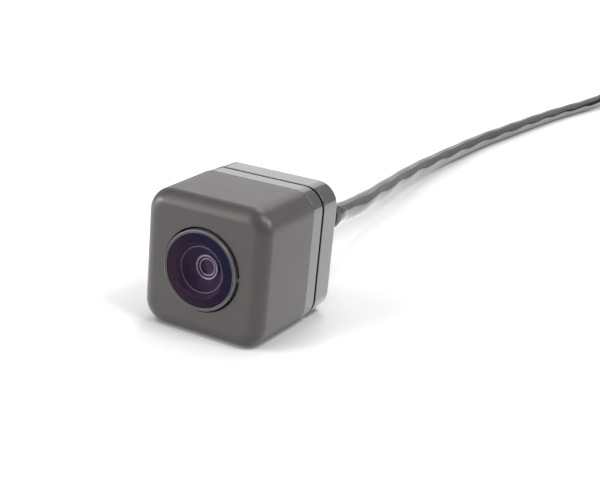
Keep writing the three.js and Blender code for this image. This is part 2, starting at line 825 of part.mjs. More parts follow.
function pathRing(points, index, radius, sides) {
  const before = points[Math.max(index - 1, 0)];
  const after = points[Math.min(index + 1, points.length - 1)];
  const along = after.clone().sub(before).normalize();
  if (index === 0) along.copy(coilHeading(coilStartAngle));
  if (index === points.length - 1) along.copy(coilHeading(0));
  const side = new THREE.Vector3(0, 0, 1).cross(along).negate().normalize();
  const up = side.clone().cross(along);
  const ring = [];
  for (let corner = 0; corner < sides; corner++) {
    const angle = (corner / sides) * 2 * Math.PI;
    const point = points[index].clone().addScaledVector(side, radius * Math.cos(angle));
    ring.push(point.addScaledVector(up, radius * Math.sin(angle)));
  }
  return ring;
}

function cableCoil() {
  const points = coilPath();
  return loft(points.map((point, index) => pathRing(points, index, cableRadius, coilSides)));
}

function pathLength(points) {
  return points.slice(1).reduce((sum, point, index) => sum + point.distanceTo(points[index]), 0);
}

// The least distance between the skins of two turns, measured between points more than half a turn apart.
function leastTurnGap() {
  const points = coilPath();
  const apart = stepsPerTurn / 2;
  let least = Infinity;
  for (let here = 0; here < points.length; here++) {
    for (let there = here + apart; there < points.length; there++) {
      least = Math.min(least, points[here].distanceTo(points[there]));
    }
  }
  return least - cableDiameter;
}

// Free stretch: chosen points from the strain relief down to the ground and back to the coil, with Y from the origin
const groundHeight = cableRadius + seat;
const cableRoute = [
  [-0.4, 35, 9.85],
  [-1.1, 41, 9.1],
  [-2.1, 49, 8.25],
  [-3.7, 59, 7.3],
  [-5.7, 71, 6.25],
  [-7.6, 83, 5.35],
  [-9.3, 95, 4.55],
  [-10.6, 107, 3.9],
  [-11.5, 119, 3.3],
  [-12.1, 131, 2.85],
  [-12.5, 143, 2.5],
  [-12.6, 155, 2.3],
  [-12.3, 169, groundHeight],
  [-11.4, 183, groundHeight],
  [-10.3, 199, groundHeight],
  [-9.2, 215, groundHeight],
  [-7.9, 231, groundHeight],
  [-6.3, 247, groundHeight],
  [-4.5, 261, groundHeight + 0.05],
  [-2.7, 274, groundHeight + 0.2],
  [-1.2, 286, groundHeight + 0.5],
  [-0.3, 297, groundHeight + 0.8],
];

function freePath() {
  const { y, z, pitch } = reliefCentre(reliefLength);
  const along = new THREE.Vector3(0, Math.cos(pitch), -Math.sin(pitch));
  const start = new THREE.Vector3(0, y + headY, z).addScaledVector(along, endGap);
  const meet = coilPath()[0].addScaledVector(coilHeading(coilStartAngle), -endGap);
  const beforeMeet = meet.clone().addScaledVector(coilHeading(coilStartAngle), -cableDiameter);
  const route = cableRoute.map(([x, routeY, routeZ]) => new THREE.Vector3(x, routeY, routeZ));
  const second = start.clone().addScaledVector(along, cableDiameter / 2);
  return new THREE.CatmullRomCurve3([start, second, ...route, beforeMeet, meet], false, 'centripetal');
}

function cameraCable() {
  const path = freePath();
  const steps = Math.round(path.getLength() / (2.5 * cableDiameter));
  return new THREE.ExtrudeGeometry(disc(cableRadius, 8), { steps, bevelEnabled: false, extrudePath: path });
}

// A strap that goes once round the bundle of turns, at a place given by its angle on the coil.
function coilTie() {
  const half = turns / 2;
  const inner = coilOuterRadius - turnPitch * (half + 0.1) - cableRadius - tieGap;
  const outer = coilOuterRadius + cableRadius + tieGap + (tieWidth * tieWidth) / (8 * coilOuterRadius);
  const low = tieThickness;
  const high = highTurn + cableRadius + tieGap;
  const ring = (inset, y) => {
    const middle = (inner + outer) / 2;
    const radius = Math.max(cableRadius - inset, 0.4);
    const points = frameRing((outer - inner) / 2 - inset, low + inset, high - inset, radius, y);
    return points.map((point) => point.setX(point.x + middle));
  };
  const edge = tieWidth / 2;
  return cut(
    loft([ring(-tieThickness, -edge), ring(-tieThickness, edge)]),
    loft([ring(0, -edge - 1), ring(0, edge + 1)]),
  );
}

const plugBodyStart = couplingLength + endGap;

function plugBody() {
  const spigotStart = carrierRecess + carrierRadiusRun() + carrierFlangeLength + seat;
  const gripEnd = plugBodyStart + plugGripLength;
  const taper = plugLength - gripEnd;
  const bore = carrierTailRadius + slip;
  const boreEnd = spigotStart + carrierTailLength + slip;
  const shell = lathe([
    [bore, spigotStart],
    [plugSpigotRadius, spigotStart],
    [plugSpigotRadius, plugBodyStart],
    [plugRadius - 0.6, plugBodyStart],
    [plugRadius, plugBodyStart + 0.6],
    [plugRadius, gripEnd],
    [plugRadius * 0.86, gripEnd + taper * 0.15],
    [plugRadius * 0.62, gripEnd + taper * 0.4],
    [plugRadius * 0.47, gripEnd + taper * 0.7],
    [plugTailRadius, plugLength - 0.4],
    [plugTailRadius - 0.3, plugLength],
    [0, plugLength],
    [0, boreEnd],
    [bore, boreEnd],
    [bore, spigotStart],
  ]);
  const run = plugGripLength - 3;
  const middle = plugBodyStart + plugGripLength / 2;
  const flute = rod(plugFluteRadius, middle - run / 2, middle + run / 2, 12)
    .translate(plugRadius + plugFluteRadius - plugFluteDepth, 0, 0);
  const flutes = [];
  for (let order = 0; order < plugFlutes; order++) {
    flutes.push(flute.clone().rotateY(((order + 0.5) / plugFlutes) * 2 * Math.PI));
  }
  return cut(shell, ...flutes);
}

// Length of the contact carrier's nose, in front of its flange.
function carrierRadiusRun() {
  return couplingThreadLength - endGap - carrierFlangeLength - carrierRecess;
}

function contactCarrier() {
  const flangeStart = carrierRecess + carrierRadiusRun();
  const flangeEnd = flangeStart + carrierFlangeLength;
  const body = lathe([
    [0, carrierRecess],
    [carrierRadius - 0.3, carrierRecess],
    [carrierRadius, carrierRecess + 0.3],
    [carrierRadius, flangeStart],
    [carrierFlangeRadius, flangeStart],
    [carrierFlangeRadius, flangeEnd],
    [carrierTailRadius, flangeEnd],
    [carrierTailRadius, flangeEnd + carrierTailLength],
    [0, flangeEnd + carrierTailLength],
  ]);
  const pinHole = rod(pinRadius + slip, carrierRecess - 1, carrierRecess - pinProud + pinLength + seat, 10);
  const holes = pinPlaces().map(([x, z]) => pinHole.clone().translate(x, 0, z));
  const keyway = slab(rectangle(0.9, 1.2, 0, carrierRadius), carrierRecess - 1, flangeStart - slip);
  return cut(body, keyway, ...holes);
}

function pinPlaces() {
  return [[-pinOffset, pinOffset], [pinOffset, pinOffset], [-pinOffset, -pinOffset], [pinOffset, -pinOffset]];
}

function contactPin() {
  const tip = carrierRecess - pinProud;
  return lathe([
    [0, tip],
    [pinRadius * 0.6, tip + 0.1],
    [pinRadius, tip + 0.5],
    [pinRadius, tip + pinLength],
    [0, tip + pinLength],
  ], 12);
}

function plugSeal() {
  const flangeStart = carrierRecess + carrierRadiusRun();
  const radius = carrierRadius + slip + plugSealRadius;
  return ringSeal(radius, 2 * plugSealRadius, flangeStart - plugSealRadius - seat, 24);
}

// The ridged ring that screws the plug to its mate.
function couplingRing() {
  const ridged = new THREE.Shape();
  const stations = couplingRidges * 4;
  for (let station = 0; station <= stations; station++) {
    const angle = (station / stations) * 2 * Math.PI;
    const radius = couplingRadius - (station % 4 < 2 ? 0 : ridgeDepth);
    const x = radius * Math.cos(angle);
    const z = radius * Math.sin(angle);
    if (station === 0) ridged.moveTo(x, z);
    else ridged.lineTo(x, z);
  }
  const collar = couplingLength * 0.2;
  const outer = join(
    slab(ridged, collar, couplingLength - 0.6),
    rod(couplingRadius - ridgeDepth - 0.1, 0, collar + 0.1, 44),
    rod(couplingRadius - ridgeDepth, couplingLength - 0.7, couplingLength, 44),
  );
  const thread = rod(couplingThreadRadius, -1, couplingThreadLength, 32);
  const bore = rod(plugSpigotRadius + running, -1, couplingLength + 1, 32);
  return cut(outer, thread, bore);
}

function housing() {
  const group = new THREE.Group();
  group.add(piece('front_shell', frontShell(), front));
  group.add(piece('mid_frame', midFrame(), gloss));
  group.add(piece('housing_gasket', housingGasket(), rubber));
  group.add(piece('rear_cover', rearCover(), gloss));
  const screwGeometry = screw();
  cornerPlaces().forEach(([x, z], order) => {
    const mesh = piece(`rear_screw_${order + 1}`, screwGeometry, steel);
    mesh.position.set(x, 0, z);
    group.add(mesh);
  });
  return group;
}

function lensGroup() {
  const { secondStart, stopStart, thirdStart, spacerStart, rearStart, retainerStart, filterStart } = lensStack;
  const bore = innerLensRadius;
  const group = new THREE.Group();
  group.position.z = lensHeight;
  group.add(piece('lens_trim_ring', lensTrimRing(), blackMetal));
  group.add(piece('front_lens', frontLens(), glass));
  group.add(piece('lens_barrel', lensBarrel(), blackMetal));
  group.add(piece('baffle_ring', baffleRing(), blackMetal));
  group.add(piece('second_lens', innerLens(secondStart, secondLensThickness, 0.35, -0.3), glass));
  group.add(piece('aperture_stop', tube(stopRadius, bore, stopStart, stopStart + stopThickness, 24), blackMetal));
  group.add(piece('third_lens', innerLens(thirdStart, thirdLensThickness, 0.2, 0.25), glass));
  const spacerEnd = spacerStart + spacerLength;
  group.add(piece('lens_spacer', tube(bore - spacerWidth, bore, spacerStart, spacerEnd, 24), blackMetal));
  group.add(piece('rear_lens', innerLens(rearStart, rearLensThickness, 0.3, 0.2), glass));
  const retainerEnd = retainerStart + retainerLength;
  group.add(piece('lens_retainer', tube(bore - retainerWidth, bore, retainerStart, retainerEnd, 24), blackMetal));
  group.add(piece('ir_filter', rod(bore, filterStart, filterStart + filterThickness, 24), glass));
  const sealY = trimEnd + seat + sealThickness / 2;
  const sealRadius = barrelRadius + loose + sealThickness / 2 + slip;
  group.add(piece('barrel_o_ring', ringSeal(sealRadius, sealThickness, sealY), rubber));
  group.add(piece('lens_holder', lensHolder(), blackPlastic));
  const screwGeometry = holderScrew();
  [-1, 1].forEach((side, order) => {
    const mesh = piece(`holder_screw_${order + 1}`, screwGeometry, steel);
    mesh.position.x = side * earScrewOffset;
    group.add(mesh);
  });
  const chipStart = boardStart - sensorThickness;
  const chip = slab(rectangle(sensorWidth, sensorHeight), chipStart, boardStart);
  group.add(piece('image_sensor', chip, blackPlastic));
  const glassShape = rectangle(sensorWidth - 2 * sensorGlassInset, sensorHeight - 2 * sensorGlassInset);
  group.add(piece('sensor_glass', slab(glassShape, chipStart - sensorGlassThickness, chipStart), glass));
  return group;
}

function electronics() {
  const group = new THREE.Group();
  group.add(piece('sensor_board', sensorBoard(), board));
  group.add(piece('main_board', mainBoard(), board));
  const onBoard = new THREE.Group();
  onBoard.position.z = centreHeight;
  onBoard.add(piece('board_plug', boardPlugHalf(), blackPlastic));
  onBoard.add(piece('board_socket', boardSocketHalf(), blackPlastic));
  const behind = (width, height, x, z, thickness) =>
    slab(rectangle(width, height, x, z), mainBoardEnd, mainBoardEnd + thickness, chipBevel);
  const fromTop = (size, inset) => boardHeight / 2 - inset - size / 2;
  const fromSide = (size, inset) => boardWidth / 2 - inset - size / 2;
  const processorX = -fromSide(processorSize, processorSideInset);
  const processorZ = fromTop(processorSize, processorTopInset);
  const processor = behind(processorSize, processorSize, processorX, processorZ, processorThickness);
  onBoard.add(piece('processor', processor, blackPlastic));
  const inductorX = fromSide(inductorSize, inductorInset);
  const inductorZ = fromTop(inductorSize, inductorInset);
  const inductor = behind(inductorSize, inductorSize, inductorX, inductorZ, inductorThickness);
  onBoard.add(piece('power_inductor', inductor, blackPlastic));
  const crystalX = -fromSide(crystalWidth, crystalInset);
  const crystalZ = processorZ - (processorSize + crystalHeight) / 2 - crystalGap;
  const crystal = behind(crystalWidth, crystalHeight, crystalX, crystalZ, crystalThickness);
  onBoard.add(piece('crystal', crystal, steel));
  const can = piece('filter_capacitor', capacitor(), steel);
  const capacitorZ = inductorZ - inductorSize / 2 - capacitorGap - capacitorRadius;
  can.position.set(fromSide(2 * capacitorRadius, capacitorInset), 0, capacitorZ);
  onBoard.add(can);
  const header = behind(headerWidth, headerHeight, 0, headerZ, headerLength);
  onBoard.add(piece('wire_header', header, blackPlastic));
  const plug = piece('wire_housing', wireHousing(), blackPlastic);
  plug.position.z = headerZ;
  onBoard.add(plug);
  group.add(onBoard);
  for (let order = 0; order < 4; order++) {
    group.add(piece(`inner_wire_${order + 1}`, innerWire(order), blackPlastic));
  }
  return group;
}

function gland() {
  const group = new THREE.Group();
  const onAxis = new THREE.Group();
  onAxis.position.z = glandHeight;
  onAxis.add(piece('gland_seal', glandSeal(), rubber));
  onAxis.add(piece('gland_nut', glandNut(), gloss));
  group.add(onAxis);
  group.add(piece('strain_relief', strainRelief(), rubber));
  group.add(piece('cable_entry', cableEntry(), sheath));
  return group;
}

function cord() {
  const group = new THREE.Group();
  group.add(piece('camera_cable', cameraCable(), sheath));
  group.add(piece('cable_coil', cableCoil(), sheath));
  const tieGeometry = coilTie();
  tieAngles.forEach((degrees, order) => {
    const mesh = piece(`coil_tie_${order + 1}`, tieGeometry, strap);
    mesh.position.set(coilX, coilY, 0);
    mesh.rotation.z = THREE.MathUtils.degToRad(degrees);
    group.add(mesh);
  });
  return group;
}

function plug() {
  const group = new THREE.Group();
  const coilEnd = coilPath().at(-1);
  group.position.set(coilEnd.x, coilEnd.y - endGap - plugLength, coilEnd.z);
  group.add(piece('plug_body', plugBody(), rubber));
  group.add(piece('contact_carrier', contactCarrier(), blackPlastic));
  group.add(piece('plug_seal', plugSeal(), rubber));
  group.add(piece('coupling_ring', couplingRing(), steel));
  const pinGeometry = contactPin();
  pinPlaces().forEach(([x, z], order) => {
    const mesh = piece(`contact_pin_${order + 1}`, pinGeometry, gold);
    mesh.position.set(x, 0, z);
    group.add(mesh);
  });
  return group;
}

const camera = new THREE.Group();
const head = new THREE.Group();
head.position.y = headY;
head.add(housing(), lensGroup(), electronics(), gland());
camera.add(head, cord(), plug());

console.log(`least gap between the coil's turns: ${leastTurnGap().toFixed(2)} mm`);
console.log(`cable: ${(freePath().getLength() + pathLength(coilPath())).toFixed(0)} mm from the strain relief`);

export default camera;
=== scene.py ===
import json
import math
import bmesh
import bpy
from mathutils import Matrix, Vector


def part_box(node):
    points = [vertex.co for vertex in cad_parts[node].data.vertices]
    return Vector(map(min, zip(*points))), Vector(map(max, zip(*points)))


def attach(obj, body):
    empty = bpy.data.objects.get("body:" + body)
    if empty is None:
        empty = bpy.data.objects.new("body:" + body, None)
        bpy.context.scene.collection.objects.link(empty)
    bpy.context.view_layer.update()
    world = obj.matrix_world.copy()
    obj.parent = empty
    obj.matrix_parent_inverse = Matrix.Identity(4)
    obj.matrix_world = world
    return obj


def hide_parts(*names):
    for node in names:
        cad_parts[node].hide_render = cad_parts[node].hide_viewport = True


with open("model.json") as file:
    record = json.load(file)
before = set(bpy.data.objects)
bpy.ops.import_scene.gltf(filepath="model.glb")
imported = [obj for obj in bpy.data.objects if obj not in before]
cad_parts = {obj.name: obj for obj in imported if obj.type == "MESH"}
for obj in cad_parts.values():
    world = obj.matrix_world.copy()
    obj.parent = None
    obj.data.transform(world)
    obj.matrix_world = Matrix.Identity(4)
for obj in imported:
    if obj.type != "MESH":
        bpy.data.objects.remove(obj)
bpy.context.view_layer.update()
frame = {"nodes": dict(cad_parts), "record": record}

# Metres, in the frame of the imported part. Sizes below are in millimetres and turned into metres by MM.
MM = 0.001

# Housing sizes, as in the part's source. Depths are measured back from the head's front plane, at HEAD_Y.
BODY = 24.0
SHELL_LENGTH = 15.0
BAND_LENGTH = 3.25
GASKET = 0.7
COVER_LENGTH = 5.25
CORNER = 4.0
FRONT_FILLET = 2.5
REAR_FILLET = 0.7
DRAFT = 0.45
WALL = 1.6
FRONT_WALL = 2.2
BODY_DEPTH = SHELL_LENGTH + BAND_LENGTH + GASKET + COVER_LENGTH
HEAD_Y = -17.0
LENS_Z = (BODY - DRAFT) / 2
GLAND_Z = 11.4
TRIM_R = 6.85
TRIM_PROUD = 0.65
TRIM_END = 1.35
WINDOW_R = 6.33
GROOVE_R = 7.15
CABLE_R = 2.175
CABLE_GAP = 0.1
COLLAR_R = 7.4
COLLAR_LENGTH = 2.0
COVER_FLOOR = 2.0
SPIGOT_R = 5.2
SPIGOT_WALL = 1.3
SPIGOT_END = 32.75
NUT_R = 7.0
GLAND_END = 35.0
SCREW_OUT = 8.6
CORNERS = [(x * SCREW_OUT, BODY / 2 + z * SCREW_OUT) for z in (1, -1) for x in (-1, 1)]

# A spun profile that ends on its axis stops this short of it
AXIS_R = 0.01

# Camera: fitted to the photograph's edges
VIEW_AZIMUTH = 30.44
VIEW_ELEVATION = 19.34
VIEW_ROLL = 4.18
VIEW_DISTANCE = 170.56
VIEW_TARGET = Vector((0.0, 10.0 + HEAD_Y, 12.0))
VIEW_PIXEL = (233.49, 253.48)
FOCAL_PIXELS = 1000.0
FRAME_SIZE = (600, 478)
SENSOR_WIDTH = 36.0


def add_object(name, data):
    added = bpy.data.objects.new(name, data)
    bpy.context.scene.collection.objects.link(added)
    return added


def place_camera():
    azimuth = math.radians(VIEW_AZIMUTH)
    elevation = math.radians(VIEW_ELEVATION)
    roll = math.radians(VIEW_ROLL)
    back = Vector((
        math.sin(azimuth) * math.cos(elevation),
        -math.cos(azimuth) * math.cos(elevation),
        math.sin(elevation),
    ))
    place = VIEW_TARGET + back * VIEW_DISTANCE
    ahead = -back
    right = ahead.cross(Vector((0, 0, 1))).normalized()
    up = right.cross(ahead)
    right_rolled = right * math.cos(roll) + up * math.sin(roll)
    up_rolled = up * math.cos(roll) - right * math.sin(roll)
    looked_at = Vector((
        VIEW_PIXEL[0] - FRAME_SIZE[0] / 2,
        FRAME_SIZE[1] / 2 - VIEW_PIXEL[1],
        FOCAL_PIXELS,
    )).normalized()
    aim = looked_at.rotation_difference(Vector((0, 0, 1))).to_matrix()
    axes = Matrix((right_rolled, up_rolled, ahead)).transposed() @ aim
    turned = Matrix((axes.col[0], axes.col[1], -axes.col[2])).transposed().to_4x4()
    data = bpy.data.cameras.new("view")
    data.lens = FOCAL_PIXELS / FRAME_SIZE[0] * SENSOR_WIDTH
    data.sensor_width = SENSOR_WIDTH
    data.sensor_fit = "HORIZONTAL"
    data.clip_start = 0.005
    data.clip_end = 20.0
    camera = add_object("view", data)
    camera.matrix_world = Matrix.Translation(place * MM) @ turned
    bpy.context.scene.camera = camera


place_camera()


# Mesh helpers

def turn_out(mesh):
    """Turns the faces of a closed mesh outwards."""
    work = bmesh.new()
    work.from_mesh(mesh)
    bmesh.ops.recalc_face_normals(work, faces=work.faces)
    work.to_mesh(mesh)
    work.free()


def add_mesh(name, shape, material, body="camera", smooth=35.0):
    """A piece from (points, faces), or with a third item that gives other materials as {face: material}."""
    points, faces, *others = shape
    accents = others[0] if others else {}
    mesh = bpy.data.meshes.new(name)
    mesh.from_pydata([Vector(point) * MM for point in points], [], faces)
    mesh.materials.append(material)
    for other in dict.fromkeys(accents.values()):
        mesh.materials.append(other)
    for face, other in accents.items():
        mesh.polygons[face].material_index = mesh.materials.find(other.name)
    mesh.validate()
    turn_out(mesh)
    mesh.shade_smooth()
    mesh.set_sharp_from_angle(angle=math.radians(smooth))
    piece = add_object(name, mesh)
    weighted = piece.modifiers.new("flat_faces_stay_flat", "WEIGHTED_NORMAL")
    weighted.keep_sharp = True
    weighted.weight = 100
    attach(piece, body)
    return piece


def stand_for(piece, slot, *nodes):
    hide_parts(*nodes)
    return piece


def carved(solid, *tools):
    """A (points, faces) solid with others cut out of it."""
    objects = []
    for points, faces in (solid, *tools):
        mesh = bpy.data.meshes.new("shape")
        mesh.from_pydata([Vector(point) for point in points], [], faces)
        turn_out(mesh)
        objects.append(add_object("shape", mesh))
    for tool in objects[1:]:
        difference = objects[0].modifiers.new("cut", "BOOLEAN")
        difference.operation = "DIFFERENCE"
        difference.solver = "EXACT"
        difference.object = tool
    bpy.context.view_layer.update()
    result = objects[0].evaluated_get(bpy.context.evaluated_depsgraph_get()).to_mesh()
    points = [tuple(vertex.co) for vertex in result.vertices]
    faces = [tuple(face.vertices) for face in result.polygons]
    for shape in objects:
        mesh = shape.data
        bpy.data.objects.remove(shape)
        bpy.data.meshes.remove(mesh)
    return points, faces


def loft(rings, closed=False):
    """Skins rings of points with the same count, anticlockwise seen from before the first one."""
    count = len(rings[0])
    points = [point for ring in rings for point in ring]
    faces = []
    rows = len(rings) if closed else len(rings) - 1
    for row in range(rows):
        here = row * count
        after = ((row + 1) % len(rings)) * count
        for side in range(count):
            turn = (side + 1) % count
            faces.append((here + side, after + side, after + turn, here + turn))
    if not closed:
        last = (len(rings) - 1) * count
        faces.append(tuple(range(count)))
        faces.append(tuple(last + side for side in reversed(range(count))))
    return points, faces


def joined(*parts):
    """Several (points, faces) as one."""
    points, faces = [], []
    for more_points, more_faces in parts:
        start = len(points)
        points.extend(more_points)
        faces.extend(tuple(start + corner for corner in face) for face in more_faces)
    return points, faces


def circle(radius, y, count, x, z):
    angles = [2 * math.pi * k / count for k in range(count)]
    return [(x + radius * math.cos(angle), y, z + radius * math.sin(angle)) for angle in angles]


def spun(profile, z, count=96, x=0.0, closed=True):
    """A profile of (radius, depth) turned about a line along Y through x, z."""
    return loft([circle(radius, y + HEAD_Y, count, x, z) for radius, y in profile], closed)


def rounded(corner, before, after, radius, steps=4):
    """Points of a fillet at a profile's corner between the points before and after it."""
    c = Vector(corner)
    to_before = (Vector(before) - c).normalized()
    to_after = (Vector(after) - c).normalized()
    half = to_before.angle(to_after) / 2
    reach = radius / math.tan(half)
    centre = c + (to_before + to_after).normalized() * (radius / math.sin(half))
    start = c + to_before * reach - centre
    sweep = math.pi - 2 * half
    finish = c + to_after * reach - centre
    side = 1.0 if start.x * finish.y - start.y * finish.x > 0 else -1.0
    points = []
    for k in range(steps + 1):
        a = side * sweep * k / steps
        points.append((
            centre.x + start.x * math.cos(a) - start.y * math.sin(a),
            centre.y + start.x * math.sin(a) + start.y * math.cos(a),
        ))
    return points


def soft_profile(corners, steps=4):
    """A profile whose corners are (radius, y, fillet)."""
    points = []
    for k, (radius, y, fillet) in enumerate(corners):
        if fillet:
            before = corners[k - 1][:2]
            after = corners[(k + 1) % len(corners)][:2]
            points.extend(rounded((radius, y), before, after, fillet, steps))
        else:
            points.append((radius, y))
    return points


RING_STEPS = 20
RING_COUNT = 4 * (RING_STEPS + 1)


def body_ring(y, inset):
    """The housing's outline at a depth, set in from its outside: a drafted rectangle with round corners."""
    draft = DRAFT * max(0.0, 1 - max(y, 0.0) / SHELL_LENGTH)
    radius = max(CORNER - inset, 0.3)
    half_width = BODY / 2 - draft - inset
    low, high = inset, BODY - draft - inset
    middle = (low + high) / 2
    half = (high - low) / 2
    points = []
    for quarter in range(4):
        side_x = 1 if quarter in (0, 3) else -1
        side_z = 1 if quarter < 2 else -1
        for step in range(RING_STEPS + 1):
            angle = (quarter + step / RING_STEPS) * math.pi / 2
            points.append((
                side_x * (half_width - radius) + radius * math.cos(angle),
                y + HEAD_Y,
                middle + side_z * (half - radius) + radius * math.sin(angle),
            ))
    return points


def round_ring(radius, y, z):
    """A circle with as many points as a body ring, spread evenly."""
    angles = [(k + 0.5) / RING_COUNT * 2 * math.pi for k in range(RING_COUNT)]
    return [(radius * math.cos(angle), y + HEAD_Y, z + radius * math.sin(angle)) for angle in angles]


# Materials: every one is made of nodes over the object's own coordinates, here in millimetres

# Noise values between which patches shade over, and depths of surface texture in metres
PATCH_LOW = 0.3
PATCH_HIGH = 0.7
FINE_GRAIN = 0.00001
GRAIN = 0.00002
WEAVE = 0.0001


def new_material(name):
    material = bpy.data.materials.new(name)
    material.use_nodes = True
    tree = material.node_tree
    place = tree.nodes.new("ShaderNodeTexCoord")
    scale = tree.nodes.new("ShaderNodeMapping")
    scale.inputs["Scale"].default_value = (1 / MM, 1 / MM, 1 / MM)
    tree.links.new(place.outputs["Object"], scale.inputs["Vector"])
    return material, tree, tree.nodes["Principled BSDF"], scale.outputs["Vector"]


def add_noise(tree, place, scale, detail):
    noise = tree.nodes.new("ShaderNodeTexNoise")
    noise.inputs["Scale"].default_value = scale
    noise.inputs["Detail"].default_value = detail
    tree.links.new(place, noise.inputs["Vector"])
    return noise.outputs["Fac"]


def add_ramp(tree, value, stops):
    ramp = tree.nodes.new("ShaderNodeValToRGB")
    elements = ramp.color_ramp.elements
    while len(elements) < len(stops):
        elements.new(0.5)
    for element, (position, colour) in zip(elements, stops):
        element.position = position
        element.color = (*colour, 1.0)
    tree.links.new(value, ramp.inputs["Fac"])
    return ramp.outputs["Color"]


def add_patches(tree, value, dark, light):
    """A colour that shades over with a noise."""
    return add_ramp(tree, value, [(PATCH_LOW, dark), (PATCH_HIGH, light)])


def add_range(tree, value, low, high, start=PATCH_LOW, end=PATCH_HIGH):
    """A number that goes from low to high while a value goes from start to end."""
    spread = tree.nodes.new("ShaderNodeMapRange")
    spread.inputs["From Min"].default_value = start
    spread.inputs["From Max"].default_value = end
    spread.inputs["To Min"].default_value = low
    spread.inputs["To Max"].default_value = high
    tree.links.new(value, spread.inputs["Value"])
    return spread.outputs["Result"]


def add_bump(tree, height, strength, distance):
    bump = tree.nodes.new("ShaderNodeBump")
    bump.inputs["Strength"].default_value = strength
    bump.inputs["Distance"].default_value = distance
    tree.links.new(height, bump.inputs["Height"])
    return bump.outputs["Normal"]


def feed(tree, socket, value):
    """Sets a socket to a number, or links another socket to it."""
    if isinstance(value, float):
        socket.default_value = value
    else:
        tree.links.new(value, socket)


def multiply(tree, value, factor):
    product = tree.nodes.new("ShaderNodeMath")
    product.operation = "MULTIPLY"
    tree.links.new(value, product.inputs[0])
    feed(tree, product.inputs[1], factor)
    return product.outputs[0]


def moulded(name, dark, light, roughness, patch_scale, grain_scale, grain, grain_depth=GRAIN,
            specular=0.5, metallic=0.0, ior=1.5):
    """A moulded, cast or plated surface: patchy colour, patchy roughness and a fine grain."""
    material, tree, shader, place = new_material(name)
    patches = add_noise(tree, place, patch_scale, 4.0)
    grains = add_noise(tree, place, grain_scale, 2.0)
    tree.links.new(add_patches(tree, patches, dark, light), shader.inputs["Base Color"])
    tree.links.new(add_range(tree, patches, *roughness), shader.inputs["Roughness"])
    tree.links.new(add_bump(tree, grains, grain, grain_depth), shader.inputs["Normal"])
    shader.inputs["Metallic"].default_value = metallic
    shader.inputs["Specular IOR Level"].default_value = specular
    shader.inputs["IOR"].default_value = ior
    return material


SHELL = moulded("shell_plastic", (0.049, 0.041, 0.042), (0.059, 0.050, 0.051), (0.36, 0.42), 0.35, 9.0, 0.25,
                FINE_GRAIN)
COVER = moulded("cover_plastic", (0.028, 0.027, 0.027), (0.034, 0.033, 0.032), (0.1, 0.16), 0.3, 1.2, 0.06,
                FINE_GRAIN, ior=1.9)
RUBBER = moulded("seal_rubber", (0.012, 0.012, 0.012), (0.02, 0.02, 0.02), (0.75, 0.9), 0.8, 6.0, 0.4)
BOOT = moulded("boot_rubber", (0.018, 0.018, 0.018), (0.027, 0.027, 0.026), (0.5, 0.65), 0.6, 7.0, 0.35)
INNER = moulded("inner_plastic", (0.012, 0.012, 0.013), (0.022, 0.022, 0.022), (0.45, 0.6), 0.7, 6.0, 0.3)
BARREL = moulded("barrel_metal", (0.010, 0.010, 0.010), (0.018, 0.017, 0.019), (0.4, 0.55), 0.7, 5.0, 0.3)
SCREW = moulded("screw_steel", (0.28, 0.28, 0.29), (0.42, 0.42, 0.43), (0.25, 0.4), 1.5, 12.0, 0.25,
                metallic=1.0)
CAN = moulded("can_metal", (0.45, 0.45, 0.46), (0.6, 0.6, 0.6), (0.2, 0.35), 1.0, 10.0, 0.2, metallic=1.0)
PIN = moulded("pin_brass", (0.62, 0.42, 0.12), (0.78, 0.56, 0.2), (0.18, 0.3), 1.2, 10.0, 0.15, metallic=1.0)
RING = moulded("ring_metal", (0.16, 0.16, 0.165), (0.23, 0.23, 0.235), (0.24, 0.36), 0.8, 8.0, 0.2,
               metallic=1.0)
BOARD = moulded("circuit_board", (0.004, 0.045, 0.018), (0.01, 0.085, 0.03), (0.3, 0.45), 0.9, 5.0, 0.3)
WIRE = moulded("wire_insulation", (0.22, 0.02, 0.015), (0.32, 0.04, 0.03), (0.35, 0.5), 0.8, 6.0, 0.2)


def trim_material():
    """Anodised ring with fine turning lines round the lens axis."""
    material, tree, shader, place = new_material("trim_metal")
    move = tree.nodes.new("ShaderNodeMapping")
    move.inputs["Location"].default_value = (0, 0, -LENS_Z)
    tree.links.new(place, move.inputs["Vector"])
    wave = tree.nodes.new("ShaderNodeTexWave")
    wave.wave_type = "RINGS"
    wave.rings_direction = "Y"
    wave.inputs["Scale"].default_value = 3.0
    wave.inputs["Distortion"].default_value = 0.4
    tree.links.new(move.outputs["Vector"], wave.inputs["Vector"])
    patches = add_noise(tree, place, 0.8, 3.0)
    colour = add_patches(tree, patches, (0.122, 0.114, 0.119), (0.160, 0.150, 0.156))
    tree.links.new(colour, shader.inputs["Base Color"])
    tree.links.new(add_range(tree, patches, 0.32, 0.42), shader.inputs["Roughness"])
    tree.links.new(add_bump(tree, wave.outputs["Fac"], 0.08, FINE_GRAIN), shader.inputs["Normal"])
    shader.inputs["IOR"].default_value = 1.6
    return material


def clear_glass(name, tint, ior, roughness, haze):
    """Tinted glass with a trace of dust."""
    material, tree, shader, place = new_material(name)
    dust = add_noise(tree, place, 1.5, 4.0)
    dusty = tuple(min(channel * 1.06, 1) for channel in tint)
    tree.links.new(add_patches(tree, dust, tint, dusty), shader.inputs["Base Color"])
    tree.links.new(add_range(tree, dust, roughness, roughness + haze), shader.inputs["Roughness"])
    shader.inputs["Transmission Weight"].default_value = 1.0
    shader.inputs["IOR"].default_value = ior
    return material


def coated_black(name, dark, light, film):
    """Lens face painted behind, under an anti-reflection film of a thickness in nanometres."""
    material = moulded(name, dark, light, (0.02, 0.05), 0.8, 3.0, 0.01, ior=1.25)
    shader = material.node_tree.nodes["Principled BSDF"]
    shader.inputs["Thin Film Thickness"].default_value = film
    shader.inputs["Thin Film IOR"].default_value = 1.2
    return material


